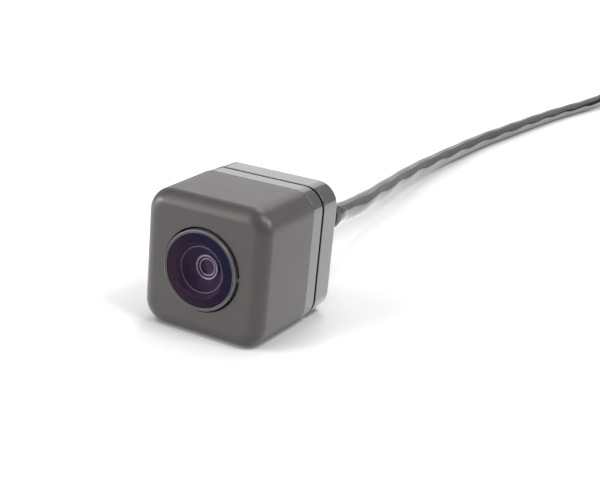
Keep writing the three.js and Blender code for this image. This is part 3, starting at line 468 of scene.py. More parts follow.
TRIM = trim_material()
# Black paint partly, painted reflection partly: the funnel is made lighter and purple-blue to stand in for
# the coated reflection that the clear middle of the first lens does not give.
PAINT_AND_PAINTED_REFLECTION = moulded("lens_paint_and_painted_reflection", (0.026, 0.018, 0.038), (0.035, 0.024, 0.050), (0.5, 0.7), 0.8, 5.0, 0.2,
                specular=0.2)
# Painted light: the same black paint as the funnel's, made about twice as light on the inward-facing bevel to
# make up for the shade that falls on it.
LIGHTENED_BEVEL_PAINT = moulded("bevel_paint_lightened", (0.037, 0.023, 0.040), (0.048, 0.030, 0.052), (0.5, 0.7), 0.8, 5.0, 0.2,
                      specular=0.2)
LIP = moulded("polished_lip", (0.30, 0.28, 0.31), (0.40, 0.38, 0.42), (0.4, 0.5), 1.2, 8.0, 0.2, metallic=1.0)
LENS_CLEAR = clear_glass("lens_clear", (0.75, 0.70, 0.78), 1.01, 0.0, 0.01)
LENS_COATED = coated_black("lens_coated", (0.007, 0.0045, 0.013), (0.010, 0.0065, 0.018), 396)
INNER_FACE = coated_black("inner_face", (0.050, 0.036, 0.052), (0.075, 0.055, 0.078), 393)
INNER_GLASS = clear_glass("inner_glass", (0.7, 0.64, 0.72), 1.5, 0.3, 0.06)


def sheath_material():
    """Shiny cable sheath with faint streaks from the extruder."""
    material, tree, shader, place = new_material("cable_sheath")
    patches = add_noise(tree, place, 0.25, 4.0)
    streaks = add_noise(tree, place, 3.0, 2.0)
    colour = add_patches(tree, patches, (0.006, 0.005, 0.005), (0.010, 0.009, 0.009))
    tree.links.new(colour, shader.inputs["Base Color"])
    tree.links.new(add_range(tree, streaks, 0.17, 0.25), shader.inputs["Roughness"])
    tree.links.new(add_bump(tree, streaks, 0.08, GRAIN), shader.inputs["Normal"])
    shader.inputs["IOR"].default_value = 1.53
    shader.inputs["Sheen Weight"].default_value = 0.1
    shader.inputs["Sheen Roughness"].default_value = 0.35
    return material


def strap_material():
    """Woven strap: two crossed sets of ridges."""
    material, tree, shader, place = new_material("tie_fabric")
    waves = []
    for direction in ("DIAGONAL", "Z"):
        wave = tree.nodes.new("ShaderNodeTexWave")
        wave.bands_direction = direction
        wave.inputs["Scale"].default_value = 1.6
        wave.inputs["Distortion"].default_value = 0.6
        tree.links.new(place, wave.inputs["Vector"])
        waves.append(wave.outputs["Fac"])
    both = multiply(tree, *waves)
    # Painted shade: the colour follows the weave's height and is darker where it is lower, between the
    # threads.
    weave_shade = add_ramp(tree, both, [(0.2, (0.010, 0.010, 0.011)), (0.8, (0.035, 0.035, 0.037))])
    tree.links.new(weave_shade, shader.inputs["Base Color"])
    tree.links.new(add_bump(tree, both, 0.5, WEAVE), shader.inputs["Normal"])
    shader.inputs["Roughness"].default_value = 0.9
    shader.inputs["Sheen Weight"].default_value = 0.3
    return material


SHEATH = sheath_material()
STRAP = strap_material()


# Cable: the same points and formula as in the part's source, in millimetres
RELIEF_LENGTH = 12.0
RELIEF_DROOP = math.radians(8.0)
COIL_X = 24.2
COIL_Y = 314.0
COIL_R = 24.3
COIL_START = 180.0
COIL_TURNS = 4 + COIL_START / 360
COIL_STEPS = 144
TURN_CLIMB = 0.25
TURN_GAP = 0.6
TURN_PITCH = 2 * CABLE_R + TURN_GAP
TIE_WIDTH = 6.0
TIE_THICKNESS = 0.6
TIE_GAP = 0.3
LOW_TURN = TIE_THICKNESS + TIE_GAP + CABLE_R
END_GAP = 0.3
ROUTE_SPACING = 0.6
GROUND = CABLE_R + 0.05
CABLE_ROUTE = [
    (-0.4, 35, 9.85),
    (-1.1, 41, 9.1),
    (-2.1, 49, 8.25),
    (-3.7, 59, 7.3),
    (-5.7, 71, 6.25),
    (-7.6, 83, 5.35),
    (-9.3, 95, 4.55),
    (-10.6, 107, 3.9),
    (-11.5, 119, 3.3),
    (-12.1, 131, 2.85),
    (-12.5, 143, 2.5),
    (-12.6, 155, 2.3),
    (-12.3, 169, GROUND),
    (-11.4, 183, GROUND),
    (-10.3, 199, GROUND),
    (-9.2, 215, GROUND),
    (-7.9, 231, GROUND),
    (-6.3, 247, GROUND),
    (-4.5, 261, GROUND + 0.05),
    (-2.7, 274, GROUND + 0.2),
    (-1.2, 286, GROUND + 0.5),
    (-0.3, 297, GROUND + 0.8),
]


def relief_centre(distance):
    """The strain relief's axis: depth, height and pitch at a distance from the gland nut."""
    if distance <= 0:
        return GLAND_END + distance, GLAND_Z, 0.0
    pitch = RELIEF_DROOP * distance / RELIEF_LENGTH
    radius = distance / pitch
    return GLAND_END + radius * math.sin(pitch), GLAND_Z - radius * (1 - math.cos(pitch)), pitch


def coil_heading(degrees):
    """The way the cable runs at an angle round the coil."""
    angle = math.radians(degrees)
    return Vector((math.sin(angle), -math.cos(angle), 0))


def coil_point(turns):
    """The cable's middle in the coil: inwards in the lower layer, then up, and outwards in the upper one."""
    half = COIL_TURNS / 2
    from_middle = turns - half
    if abs(from_middle) < TURN_CLIMB:
        away = from_middle ** 2 / (2 * TURN_CLIMB) + TURN_CLIMB / 2
        share = (from_middle + TURN_CLIMB) / (2 * TURN_CLIMB)
        rise = share * share * (3 - 2 * share)
    else:
        away = abs(from_middle)
        rise = 1.0 if from_middle > 0 else 0.0
    radius = COIL_R - TURN_PITCH * (half - away)
    angle = math.radians(COIL_START) - turns * 2 * math.pi
    return Vector((
        COIL_X + radius * math.cos(angle),
        COIL_Y + radius * math.sin(angle),
        LOW_TURN + rise * TURN_PITCH,
    ))


def through(points, spacing):
    """A smooth curve through points, with knots spaced by the square root of the chords, in even steps."""
    padded = [2 * points[0] - points[1], *points, 2 * points[-1] - points[-2]]
    curve = []
    for k in range(len(points) - 1):
        p0, p1, p2, p3 = padded[k:k + 4]
        d0, d1, d2 = (max((b - a).length, 1e-6) ** 0.5 for a, b in ((p0, p1), (p1, p2), (p2, p3)))
        t1 = ((p1 - p0) / d0 - (p2 - p0) / (d0 + d1) + (p2 - p1) / d1) * d1
        t2 = ((p2 - p1) / d1 - (p3 - p1) / (d1 + d2) + (p3 - p2) / d2) * d1
        steps = max(2, round((p2 - p1).length / spacing))
        for step in range(steps):
            t = step / steps
            curve.append(
                p1 * (2 * t ** 3 - 3 * t ** 2 + 1) + t1 * (t ** 3 - 2 * t ** 2 + t)
                + p2 * (3 * t ** 2 - 2 * t ** 3) + t2 * (t ** 3 - t ** 2)
            )
    curve.append(points[-1].copy())
    return curve


def cable_points():
    """The cable's middle line, from the strain relief to the ground, round the coil and into the plug."""
    depth, height, pitch = relief_centre(RELIEF_LENGTH)
    along = Vector((0, math.cos(pitch), -math.sin(pitch)))
    start = Vector((0, depth + HEAD_Y, height))
    enter = coil_heading(COIL_START)
    diameter = 2 * CABLE_R
    coil_start = coil_point(0) - enter * diameter
    route = [start, start + along * (diameter / 2 + END_GAP)]
    route += [Vector(point) for point in CABLE_ROUTE]
    route += [coil_start - enter * (diameter + END_GAP), coil_start]
    points = through(route, ROUTE_SPACING)
    points += [coil_start + enter * diameter * share for share in (0.25, 0.5, 0.75)]
    steps = round(COIL_TURNS * COIL_STEPS)
    points += [coil_point(COIL_TURNS * step / steps) for step in range(steps + 1)]
    leave = coil_heading(0)
    points += [points[-1] + leave * diameter * share for share in (0.25, 0.5, 0.75, 1.0, 1.06)]
    return points


# The twist of the three cores, which shows on the sheath
LAY_LOBES = 3
LAY_LENGTH = 63.0
LAY_DEPTH = 0.13
CABLE_SIDES = 36


def cable_mesh(points):
    """A round sheath that shows the twist of the cores inside it as a faint helical wave."""
    rings = []
    travelled = 0.0
    across = Vector((1, 0, 0))
    for k, point in enumerate(points):
        along = (points[min(k + 1, len(points) - 1)] - points[max(k - 1, 0)]).normalized()
        across = (across - along * across.dot(along)).normalized()
        up = across.cross(along)
        if k:
            travelled += (point - points[k - 1]).length
        ring = []
        for side in range(CABLE_SIDES):
            angle = 2 * math.pi * side / CABLE_SIDES
            lobe = math.cos(LAY_LOBES * (angle - 2 * math.pi * travelled / LAY_LENGTH))
            radius = CABLE_R - LAY_DEPTH * (0.5 - 0.5 * lobe)
            ring.append(point + across * radius * math.cos(angle) + up * radius * math.sin(angle))
        rings.append(ring)
    return loft(rings), travelled


CABLE_POINTS = cable_points()
cable_shape, CABLE_LENGTH = cable_mesh(CABLE_POINTS)
cable = add_mesh("camera_cable_sheath", cable_shape, SHEATH, smooth=60.0)
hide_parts("camera_cable", "cable_coil")


# Housing

FILLET_STEPS = 14
REAR_EDGE = 0.12
POCKET_EDGE = 0.12
POCKET_DEPTH = 2.21
LENS_BORE_R = 6.1
POST_R = 2.0
POST_BORE_R = 1.15
POST_START = 8.0
EDGE = 0.1
EDGE_STEPS = 3


def front_shell():
    """Outside with its rounded front, the lens pocket, the hollow, and the four screw posts."""
    rings = [
        body_ring(SHELL_LENGTH, REAR_EDGE),
        body_ring(SHELL_LENGTH - REAR_EDGE / 3, REAR_EDGE / 4),
        body_ring(SHELL_LENGTH - REAR_EDGE, 0.0),
    ]
    for share in (0.75, 0.5, 0.25):
        rings.append(body_ring(FRONT_FILLET + (SHELL_LENGTH - FRONT_FILLET) * share, 0))
    for step in range(FILLET_STEPS + 1):
        angle = math.pi / 2 * (1 - step / FILLET_STEPS)
        rings.append(body_ring(FRONT_FILLET * (1 - math.cos(angle)), FRONT_FILLET * (1 - math.sin(angle))))
    for share in (0, 0.25, 0.5, 0.75, 1.0):
        turn = share * math.pi / 2
        radius = GROOVE_R + POCKET_EDGE * (1 - math.sin(turn))
        rings.append(round_ring(radius, POCKET_EDGE * (1 - math.cos(turn)), LENS_Z))
    pocket = [
        (GROOVE_R, POCKET_DEPTH), (LENS_BORE_R, POCKET_DEPTH), (LENS_BORE_R, POCKET_DEPTH + 1),
        (GROOVE_R + WALL, POCKET_DEPTH + 1), (GROOVE_R + WALL, FRONT_WALL),
    ]
    rings += [round_ring(radius, y, LENS_Z) for radius, y in pocket]
    rings += [body_ring(FRONT_WALL, WALL), body_ring(SHELL_LENGTH, WALL)]
    points, faces = loft(rings, closed=True)
    faces = [tuple(reversed(face)) for face in faces]
    post = [
        (POST_BORE_R, POST_START), (POST_R, POST_START), (POST_R, SHELL_LENGTH), (POST_BORE_R, SHELL_LENGTH),
    ]
    return joined((points, faces), *(spun(post, z, 32, x) for x, z in CORNERS))


def soft_edge(y, direction, outer_inset, edge):
    """Body rings round the edge of a wall, from its end face to its outside."""
    rings = []
    for step in range(EDGE_STEPS + 1):
        turn = step / EDGE_STEPS * math.pi / 2
        inset = outer_inset + edge * (1 - math.sin(turn))
        rings.append(body_ring(y + direction * edge * (1 - math.cos(turn)), inset))
    return rings


def sleeve(start, end, outer_inset, inner_inset, edge):
    """A length of the housing's wall with soft edges, open at both ends."""
    rings = [body_ring(start, inner_inset)]
    rings += soft_edge(start, 1, outer_inset, edge)
    rings += reversed(soft_edge(end, -1, outer_inset, edge))
    rings.append(body_ring(end, inner_inset))
    return loft(rings, closed=True)


def mid_frame():
    return sleeve(SHELL_LENGTH, SHELL_LENGTH + BAND_LENGTH, 0.0, WALL, EDGE)


def gasket():
    """The seal between band and cover, set back from the outside so that it reads as a dark line."""
    start = SHELL_LENGTH + BAND_LENGTH
    return sleeve(start, start + GASKET, 0.35, 1.5, 0.05)


REAR_STEPS = 10
RECESS_R = 1.9
RECESS_DEPTH = 1.5
BEVEL_R = 2.2
BEVEL_DEPTH = 0.12
BEVEL_TOP = 0.18


def screw_cutters(profile):
    """A profile spun about each of the corner screws."""
    return [spun(profile, z, 48, x, closed=False) for x, z in CORNERS]


def rear_cover():
    """Glossy cover with the gland's collar and spigot, and a recess round each screw."""
    start = SHELL_LENGTH + BAND_LENGTH + GASKET
    rings = [body_ring(start, WALL)] + soft_edge(start, 1, 0.0, EDGE)
    for step in range(REAR_STEPS + 1):
        angle = step / REAR_STEPS * math.pi / 2
        inset = REAR_FILLET * (1 - math.cos(angle))
        rings.append(body_ring(BODY_DEPTH - REAR_FILLET * (1 - math.sin(angle)), inset))
    collar_end = BODY_DEPTH + COLLAR_LENGTH
    floor_depth = BODY_DEPTH - COVER_FLOOR
    inside = SPIGOT_R - SPIGOT_WALL
    bore = CABLE_R + CABLE_GAP
    gland_seat = soft_profile([
        (COLLAR_R + 1.0, BODY_DEPTH, 0), (COLLAR_R, BODY_DEPTH, 0.3), (COLLAR_R, collar_end, 0.25),
        (SPIGOT_R, collar_end, 0), (SPIGOT_R, SPIGOT_END, 0), (inside, SPIGOT_END, 0),
        (inside, collar_end, 0), (bore, collar_end, 0), (bore, floor_depth, 0),
    ])
    rings += [round_ring(radius, y, GLAND_Z) for radius, y in gland_seat]
    rings.append(body_ring(floor_depth, WALL))
    recess_floor = BODY_DEPTH - RECESS_DEPTH
    recess_top = BODY_DEPTH + 0.5
    recesses = screw_cutters([
        (AXIS_R, recess_floor), (RECESS_R, recess_floor), (RECESS_R, recess_top), (AXIS_R, recess_top),
    ])
    bevel_floor = BODY_DEPTH - BEVEL_DEPTH
    bevel_top = BODY_DEPTH + BEVEL_TOP
    bevels = screw_cutters([
        (AXIS_R, bevel_floor), (RECESS_R, bevel_floor), (BEVEL_R, bevel_top), (AXIS_R, bevel_top),
    ])
    return carved(loft(rings, closed=True), *recesses, *bevels)


stand_for(add_mesh("shell", front_shell(), SHELL), "shell_plastic", "front_shell")
stand_for(add_mesh("band", mid_frame(), COVER), "cover_plastic", "mid_frame")
stand_for(add_mesh("parting_seal", gasket(), RUBBER), "seal_rubber", "housing_gasket")
stand_for(add_mesh("cover", rear_cover(), COVER), "cover_plastic", "rear_cover")


# Lens

def trim_ring():
    """Thin turned ring with a groove in its front and a key that sits in the shell's notch."""
    front = -TRIM_PROUD
    groove = front + 0.3
    seat_r = WINDOW_R + 0.22
    profile = soft_profile([
        (WINDOW_R, -0.3, 0), (WINDOW_R, -0.55, 0), (WINDOW_R + 0.05, front, 0.03),
        (WINDOW_R + 0.13, front, 0), (WINDOW_R + 0.15, groove, 0),
        (WINDOW_R + 0.28, groove, 0), (WINDOW_R + 0.3, front, 0),
        (TRIM_R - 0.1, front + 0.02, 0.03), (TRIM_R, front + 0.2, 0.06), (TRIM_R, TRIM_END, 0),
        (seat_r, TRIM_END, 0), (seat_r, -0.3, 0),
    ], steps=3)
    ring = spun(profile, LENS_Z, 160)
    key = [
        (TRIM_R - 0.15 if k in (0, 3) else TRIM_R + 0.5, y, LENS_Z + (0.35 if k > 1 else -0.35))
        for y in (HEAD_Y + 0.02, HEAD_Y + TRIM_END) for k in range(4)
    ]
    return joined(ring, loft([key[:4], key[4:]]))


CLEAR_R = 4.75
HOLLOW_R = 4.1
RIM_STEPS = 12
DOME_TOP = 1.0
DOME_EDGE = 0.5
DOME_THICKNESS = 0.12
BEVEL_FROM = -0.3
LENS_SIDES = 128


def front_lens():
    """The big first lens: a clear middle in a coated rim, whose inner bevel is painted."""
    rise = DOME_TOP - DOME_EDGE
    bulge = (WINDOW_R ** 2 + rise ** 2) / (2 * rise)

    def dome_at(radius, back=0.0):
        return radius, -DOME_TOP + back + bulge - math.sqrt(bulge ** 2 - radius ** 2)

    outer = [dome_at(CLEAR_R + (WINDOW_R - CLEAR_R) * k / RIM_STEPS) for k in range(RIM_STEPS + 1)]
    edge_r = WINDOW_R + 0.1
    rim = spun(outer + [(edge_r, -0.25), (edge_r, 0.95), (HOLLOW_R, 0.2)], LENS_Z, LENS_SIDES)
    radii = [max(CLEAR_R * k / RIM_STEPS, AXIS_R) for k in range(RIM_STEPS + 1)]
    inner = [dome_at(radius) for radius in radii]
    behind = [dome_at(radius, DOME_THICKNESS) for radius in reversed(radii)]
    middle = spun(inner + behind, LENS_Z, LENS_SIDES, closed=False)
    accents = {}
    for number, face in enumerate(rim[1]):
        centre = sum((Vector(rim[0][k]) for k in face), Vector()) / len(face)
        accents[number] = LIGHTENED_BEVEL_PAINT if centre.y - HEAD_Y > BEVEL_FROM else LENS_COATED
    return *joined(rim, middle), accents


def ring_bead(radius, y, thickness):
    """A small round lip round the lens axis."""
    angles = [math.pi / 4 * k for k in range(8)]
    profile = [(radius + thickness * math.cos(angle), y + thickness * math.sin(angle)) for angle in angles]
    return spun(profile, LENS_Z)


def baffle():
    """Black funnel behind the first lens, and the three bright lips that show through it."""
    funnel = spun([
        (4.6, 0.8), (4.08, 0.27), (3.93, 0.28), (3.55, 0.85), (2.95, 1.45), (2.4, 1.82), (2.15, 1.92),
        (1.65, 2.02), (1.42, 2.07), (1.35, 2.17), (1.35, 2.65), (4.6, 3.3),
    ], LENS_Z)
    lips = [ring_bead(3.93, 0.22, 0.04), ring_bead(1.96, 1.82, 0.16), ring_bead(1.42, 1.98, 0.13)]
    face = spun([
        (AXIS_R, 2.12), (0.5, 2.14), (1.0, 2.19), (1.37, 2.26), (1.37, 2.62), (AXIS_R, 2.62),
    ], LENS_Z, 64, closed=False)
    points, faces = joined(funnel, *lips, face)
    last = len(faces) - len(face[1])
    accents = {number: LIP for number in range(len(funnel[1]), last)}
    accents.update({number: INNER_FACE for number in range(last, len(faces))})
    return points, faces, accents


stand_for(add_mesh("trim_ring", trim_ring(), TRIM), "trim_metal", "lens_trim_ring")
stand_for(add_mesh("first_lens", front_lens(), LENS_CLEAR), "lens_glass", "front_lens")
stand_for(add_mesh("lens_baffle", baffle(), PAINT_AND_PAINTED_REFLECTION), "barrel_metal", "baffle_ring")


# Gland and strain relief

def divided(profile, wall_r, spacing):
    """A closed profile with its outer wall, at one radius, divided into short stretches."""
    points = []
    for (r0, y0), (r1, y1) in zip(profile, profile[1:] + profile[:1]):
        steps = max(1, round(abs(y1 - y0) / spacing)) if r0 == r1 == wall_r else 1
        points += [(r0 + (r1 - r0) * k / steps, y0 + (y1 - y0) * k / steps) for k in range(steps)]
    return points


def fluted(profile, z, flutes, depth, cutter, start, end, fade, sides=160, x=0.0):
    """A profile spun about x, z, with flutes of a cutter's radius that fade out at two depths."""
    rings = []
    for radius, y in profile:
        reach = min(max((y - start) / fade, 0), max((end - y) / fade, 0), 1)
        dip = depth * reach * reach * (3 - 2 * reach)
        ring = []
        for side in range(sides):
            angle = 2 * math.pi * side / sides
            off = (angle * flutes / (2 * math.pi)) % 1 - 0.5
            away = abs(off) * 2 * math.pi / flutes
            centre = radius + cutter - dip
            inside = cutter ** 2 - (centre * math.sin(away)) ** 2
            edge = centre * math.cos(away) - math.sqrt(inside) if dip > 0 and inside > 0 else radius
            r = min(radius, edge)
            ring.append((x + r * math.cos(angle), y + HEAD_Y, z + r * math.sin(angle)))
        rings.append(ring)
    return loft(rings, closed=True)


NUT_START = BODY_DEPTH + 2.3
NUT_BORE_R = 5.3
NUT_MOUTH_R = 4.3
NUT_LIP = GLAND_END - 1.2


def gland_nut():
    """Round nut with ten flutes that run out through its rear edge."""
    profile = soft_profile([
        (NUT_BORE_R, NUT_START, 0), (NUT_R, NUT_START, 0.4), (NUT_R, GLAND_END, 0.9),
        (NUT_MOUTH_R, GLAND_END, 0.3), (NUT_MOUTH_R, NUT_LIP, 0), (NUT_BORE_R, NUT_LIP, 0),
    ], steps=6)
    return fluted(divided(profile, NUT_R, 0.35), GLAND_Z, flutes=10, depth=0.35, cutter=1.1,
                  start=GLAND_END - 5.9, end=GLAND_END + 5, fade=0.7)


RELIEF_R = 4.1
RELIEF_TIP_R = 2.75
RELIEF_STEPS = 90
FLANGE_R = 5.1
FLANGE_START = -1.95
FLANGE_END = -1.25
# Place and half-width of a groove are shares of its pitch
RELIEF_GROOVES = 4
GROOVE_PLACE = 0.65
GROOVE_HALF = 0.1
GROOVE_DEPTH = 0.4
TIP_FROM = 0.96
TIP_FILLET = 0.3
ENTRY_LENGTH = 13.6


def relief_ring(distance, radius, sides=48):
    """A circle across the strain relief's axis."""
    depth, height, pitch = relief_centre(distance)
    points = []
    for k in range(sides):
        angle = 2 * math.pi * k / sides
        up = radius * math.sin(angle)
        points.append((
            radius * math.cos(angle),
            depth + HEAD_Y + up * math.sin(pitch),
            height + up * math.cos(pitch),
        ))
    return points


def strain_relief():
    """Tapered boot with four soft grooves, which bends down with the cable."""
    rings = [
        relief_ring(FLANGE_START, FLANGE_R),
        relief_ring(FLANGE_END, FLANGE_R),
        relief_ring(FLANGE_END, RELIEF_R),
        relief_ring(0, RELIEF_R),
    ]
    for k in range(1, RELIEF_STEPS):
        share = k / RELIEF_STEPS
        radius = RELIEF_R + (RELIEF_TIP_R - RELIEF_R) * share
        along = share * (RELIEF_GROOVES + 1)
        away = abs(along % 1 - GROOVE_PLACE) if along < RELIEF_GROOVES else 1.0
        dip = GROOVE_DEPTH * (1 - min(max((away - GROOVE_HALF) / GROOVE_HALF, 0), 1) ** 2)
        end = max(0.0, (share - TIP_FROM) / (1 - TIP_FROM))
        rings.append(relief_ring(share * RELIEF_LENGTH, radius - dip - TIP_FILLET * end * end))
    bore = CABLE_R + CABLE_GAP
    rings.append(relief_ring(RELIEF_LENGTH, bore + 0.05))
    rings += [relief_ring(RELIEF_LENGTH * share, bore) for share in (1, 0.75, 0.5, 0.25, 0)]
    rings.append(relief_ring(FLANGE_START, bore))
    return loft(rings, closed=True)


def cable_entry():
    """The end of the sheath inside the gland and the strain relief."""
    distances = [-ENTRY_LENGTH + ENTRY_LENGTH * k / 10 for k in range(10)]
    distances += [RELIEF_LENGTH * k / 16 for k in range(17)]
    return loft([relief_ring(distance, CABLE_R, CABLE_SIDES) for distance in distances])


stand_for(add_mesh("gland_cap", gland_nut(), COVER), "cover_plastic", "gland_nut")
boot = stand_for(add_mesh("cable_boot", strain_relief(), BOOT), "boot_rubber", "strain_relief")
entry = stand_for(add_mesh("cable_entry_sheath", cable_entry(), SHEATH), "cable_sheath", "cable_entry")


# Coil ties and plug

SELVEDGE_WIDTH = 0.35
SELVEDGE_DEPTH = 0.12
WEAVE_ALONG = 0.9
WEAVE_ACROSS = 0.8
WEAVE_HEIGHT = 0.05
WEAVE_STEPS = 30
TIE_CORNER_STEPS = 16
TIE_SPACING = 0.22


def strap_path():
    """Points and outward directions round the middle of the strap, in its own upright plane."""
    half_turns = COIL_TURNS / 2
    inside = COIL_R - TURN_PITCH * (half_turns + 0.1) - CABLE_R - TIE_GAP
    outside = COIL_R + CABLE_R + TIE_GAP + TIE_WIDTH ** 2 / (8 * COIL_R)
    middle = (inside + outside) / 2
    corner = CABLE_R + TIE_THICKNESS / 2
    half = (outside - inside) / 2 + TIE_THICKNESS / 2 - corner
    low = TIE_THICKNESS / 2 + corner
    high = LOW_TURN + TURN_PITCH + CABLE_R + TIE_GAP + TIE_THICKNESS / 2 - corner
    path = []
    for quarter, (x, z) in enumerate([(half, high), (-half, high), (-half, low), (half, low)]):
        for step in range(TIE_CORNER_STEPS + 1):
            angle = (quarter + step / TIE_CORNER_STEPS) * math.pi / 2
            out = Vector((math.cos(angle), math.sin(angle)))
            path.append((Vector((middle + x, z)) + out * corner, out))
        after = [(-half, high), (-half, low), (half, low), (half, high)][quarter]
        end = Vector((middle + after[0], after[1])) + out * corner
        start = path[-1][0]
        steps = max(2, round((end - start).length / TIE_SPACING))
        path.extend((start.lerp(end, step / steps), out) for step in range(1, steps))
    return path


def selvedge(across):
    """How far the strap's rounded edge lies below its face, at a place across it."""
    share = min(max((abs(across) - TIE_WIDTH / 2 + SELVEDGE_WIDTH) / SELVEDGE_WIDTH, 0), 1)
    return SELVEDGE_DEPTH * share ** 2


def coil_tie(degrees):
    """A woven strap that goes once round the bundle of turns."""
    turn = math.radians(degrees)
    across = [-TIE_WIDTH / 2 + TIE_WIDTH * k / WEAVE_STEPS for k in range(WEAVE_STEPS + 1)]
    rings = []
    travelled = 0.0
    path = strap_path()
    for k, (point, out) in enumerate(path):
        travelled += (point - path[k - 1][0]).length if k else 0.0
        section = []
        for v in across:
            weave = math.cos(2 * math.pi * travelled / WEAVE_ALONG) * math.cos(2 * math.pi * v / WEAVE_ACROSS)
            section.append((TIE_THICKNESS / 2 - selvedge(v) - WEAVE_HEIGHT * (0.5 + 0.5 * weave), v))
        section += [(-TIE_THICKNESS / 2 + selvedge(v), v) for v in reversed(across)]
        ring = []
        for u, v in section:
            x, z = point + out * u
            ring.append((
                COIL_X + x * math.cos(turn) - v * math.sin(turn),
                COIL_Y + x * math.sin(turn) + v * math.cos(turn),
                z,
            ))
        rings.append(ring)
    return loft(rings, closed=True)


PLUG_LOW, PLUG_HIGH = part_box("coupling_ring")
PLUG_X = (PLUG_LOW.x + PLUG_HIGH.x) / 2 / MM
PLUG_Z = (PLUG_LOW.z + PLUG_HIGH.z) / 2 / MM
PLUG_START = PLUG_LOW.y / MM
RING_LENGTH = 14.3
RING_R = 7.3
RING_BORE_R = 5.08
RIDGES = 22
RIDGE_SIDES = 10
RIDGE_HEIGHT = 0.35
THREAD_R = 6.2
THREAD_LENGTH = 9.0
THREAD_DEPTH = 0.35
PLUG_R = 7.9
PLUG_SPIGOT_R = 5.0
PLUG_SPIGOT_START = 8.75
SOCKET_R = 4.1
SOCKET_END = 16.15
BODY_START = RING_LENGTH + 0.3
GRIP_LENGTH = 15.0
TAIL_PROFILE = [(6.79, 31.46), (4.9, 34.56), (3.71, 38.28), (3.1, 41.6)]
TAIL_GROOVES_FROM = 32.9
TAIL_GROOVE_PITCH = 2.1
TAIL_GROOVE_HALF = 0.45
TAIL_HOLE_END = 41.0


def plug_profile():
    """Radius and place along the plug body, from its spigot to its tail with soft grooves."""
    grip_end = BODY_START + GRIP_LENGTH
    outside = soft_profile([
        (SOCKET_R, PLUG_SPIGOT_START, 0), (PLUG_SPIGOT_R, PLUG_SPIGOT_START, 0),
        (PLUG_SPIGOT_R, BODY_START, 0), (PLUG_R, BODY_START, 0.7), (PLUG_R, grip_end, 1.2),
        (*TAIL_PROFILE[0], 0),
    ])
    for (r0, y0), (r1, y1) in zip(TAIL_PROFILE, TAIL_PROFILE[1:]):
        steps = round((y1 - y0) / 0.12)
        for step in range(1, steps + 1):
            y = y0 + (y1 - y0) * step / steps
            away = abs((y - TAIL_GROOVES_FROM) % TAIL_GROOVE_PITCH - TAIL_GROOVE_PITCH / 2) / TAIL_GROOVE_HALF
            dip = GROOVE_DEPTH * (1 - away ** 2) ** 2 if away < 1 and 33 < y < TAIL_HOLE_END else 0.0
            outside.append((r0 + (r1 - r0) * step / steps - dip, y))
    hole = CABLE_R + 0.05
    tail = [(2.8, 42.3), (hole, 42.4), (hole, TAIL_HOLE_END)]
    return outside + tail + [(0.5, TAIL_HOLE_END), (0.5, SOCKET_END), (SOCKET_R, SOCKET_END)]


def plug_body():
    depth = PLUG_START - HEAD_Y
    profile = [(radius, depth + y) for radius, y in divided(plug_profile(), PLUG_R, 0.4)]
    start = depth + BODY_START + 1.5
    return fluted(profile, PLUG_Z, flutes=8, depth=0.5, cutter=1.6, start=start, end=start + 12, fade=0.8,
                  sides=192, x=PLUG_X)


def coupling_ring():
    """Ring with ridges outside and a thread inside its mouth."""
    sides = RIDGES * RIDGE_SIDES
    smooth = RING_R - RIDGE_HEIGHT - 0.1
    profile = [(THREAD_R + 0.3, 0.0, ""), (smooth - 0.3, 0.0, ""), (smooth, 0.3, ""), (smooth, 2.5, "")]
    profile += [(RING_R - 0.1, 2.7, "ridged")] + [(RING_R, 2.9 + 0.6 * k, "ridged") for k in range(18)]
    profile += [
        (RING_R - 0.05, 13.4, "ridged"), (smooth + 0.1, 13.7, ""), (smooth, 14.0, ""),
        (smooth - 0.3, RING_LENGTH, ""), (RING_BORE_R, RING_LENGTH, ""), (RING_BORE_R, THREAD_LENGTH, ""),
        (THREAD_R, THREAD_LENGTH, ""),
    ]
    profile += [(THREAD_R, THREAD_LENGTH - 0.2 * k, "threaded") for k in range(1, 43)]
    profile.append((THREAD_R, 0.3, ""))
    rings = []
    for radius, y, kind in profile:
        ring = []
        for side in range(sides):
            angle = 2 * math.pi * side / sides
            r = radius
            if kind == "ridged":
                r -= RIDGE_HEIGHT * (0.5 - 0.5 * math.cos(RIDGES * angle)) ** 2
            elif kind == "threaded":
                r -= THREAD_DEPTH * abs(((y - angle / (2 * math.pi)) % 1) * 2 - 1)
            ring.append((PLUG_X + r * math.cos(angle), PLUG_START + y, PLUG_Z + r * math.sin(angle)))
        rings.append(ring)
    return loft(rings, closed=True)


tie_1 = stand_for(add_mesh("tie_1", coil_tie(90), STRAP), "tie_fabric", "coil_tie_1")
tie_2 = stand_for(add_mesh("tie_2", coil_tie(270), STRAP), "tie_fabric", "coil_tie_2")
plug_grip = stand_for(add_mesh("plug_grip", plug_body(), BOOT), "boot_rubber", "plug_body")
plug_ring = add_mesh("plug_ring", coupling_ring(), RING, "coupling_ring")
stand_for(plug_ring, "ring_metal", "coupling_ring")


# Every solid's node gets its material
NODE_MATERIALS = {
    "shell_plastic": SHELL, "cover_plastic": COVER, "seal_rubber": RUBBER, "trim_metal": TRIM,
    "lens_glass": INNER_GLASS, "barrel_metal": BARREL, "inner_plastic": INNER, "circuit_board": BOARD,
    "screw_steel": SCREW, "can_metal": CAN, "wire_insulation": WIRE, "boot_rubber": BOOT,
    "cable_sheath": SHEATH, "tie_fabric": STRAP, "ring_metal": RING, "pin_brass": PIN,
}
for subpart in frame["record"]["subparts"]:
    node = frame["nodes"][subpart["node"]]
    material = NODE_MATERIALS[subpart["material_slot"]]
    for slot in node.material_slots:
        slot.material = material
    if not node.material_slots:
        node.data.materials.append(material)


# Floor, lamps and world

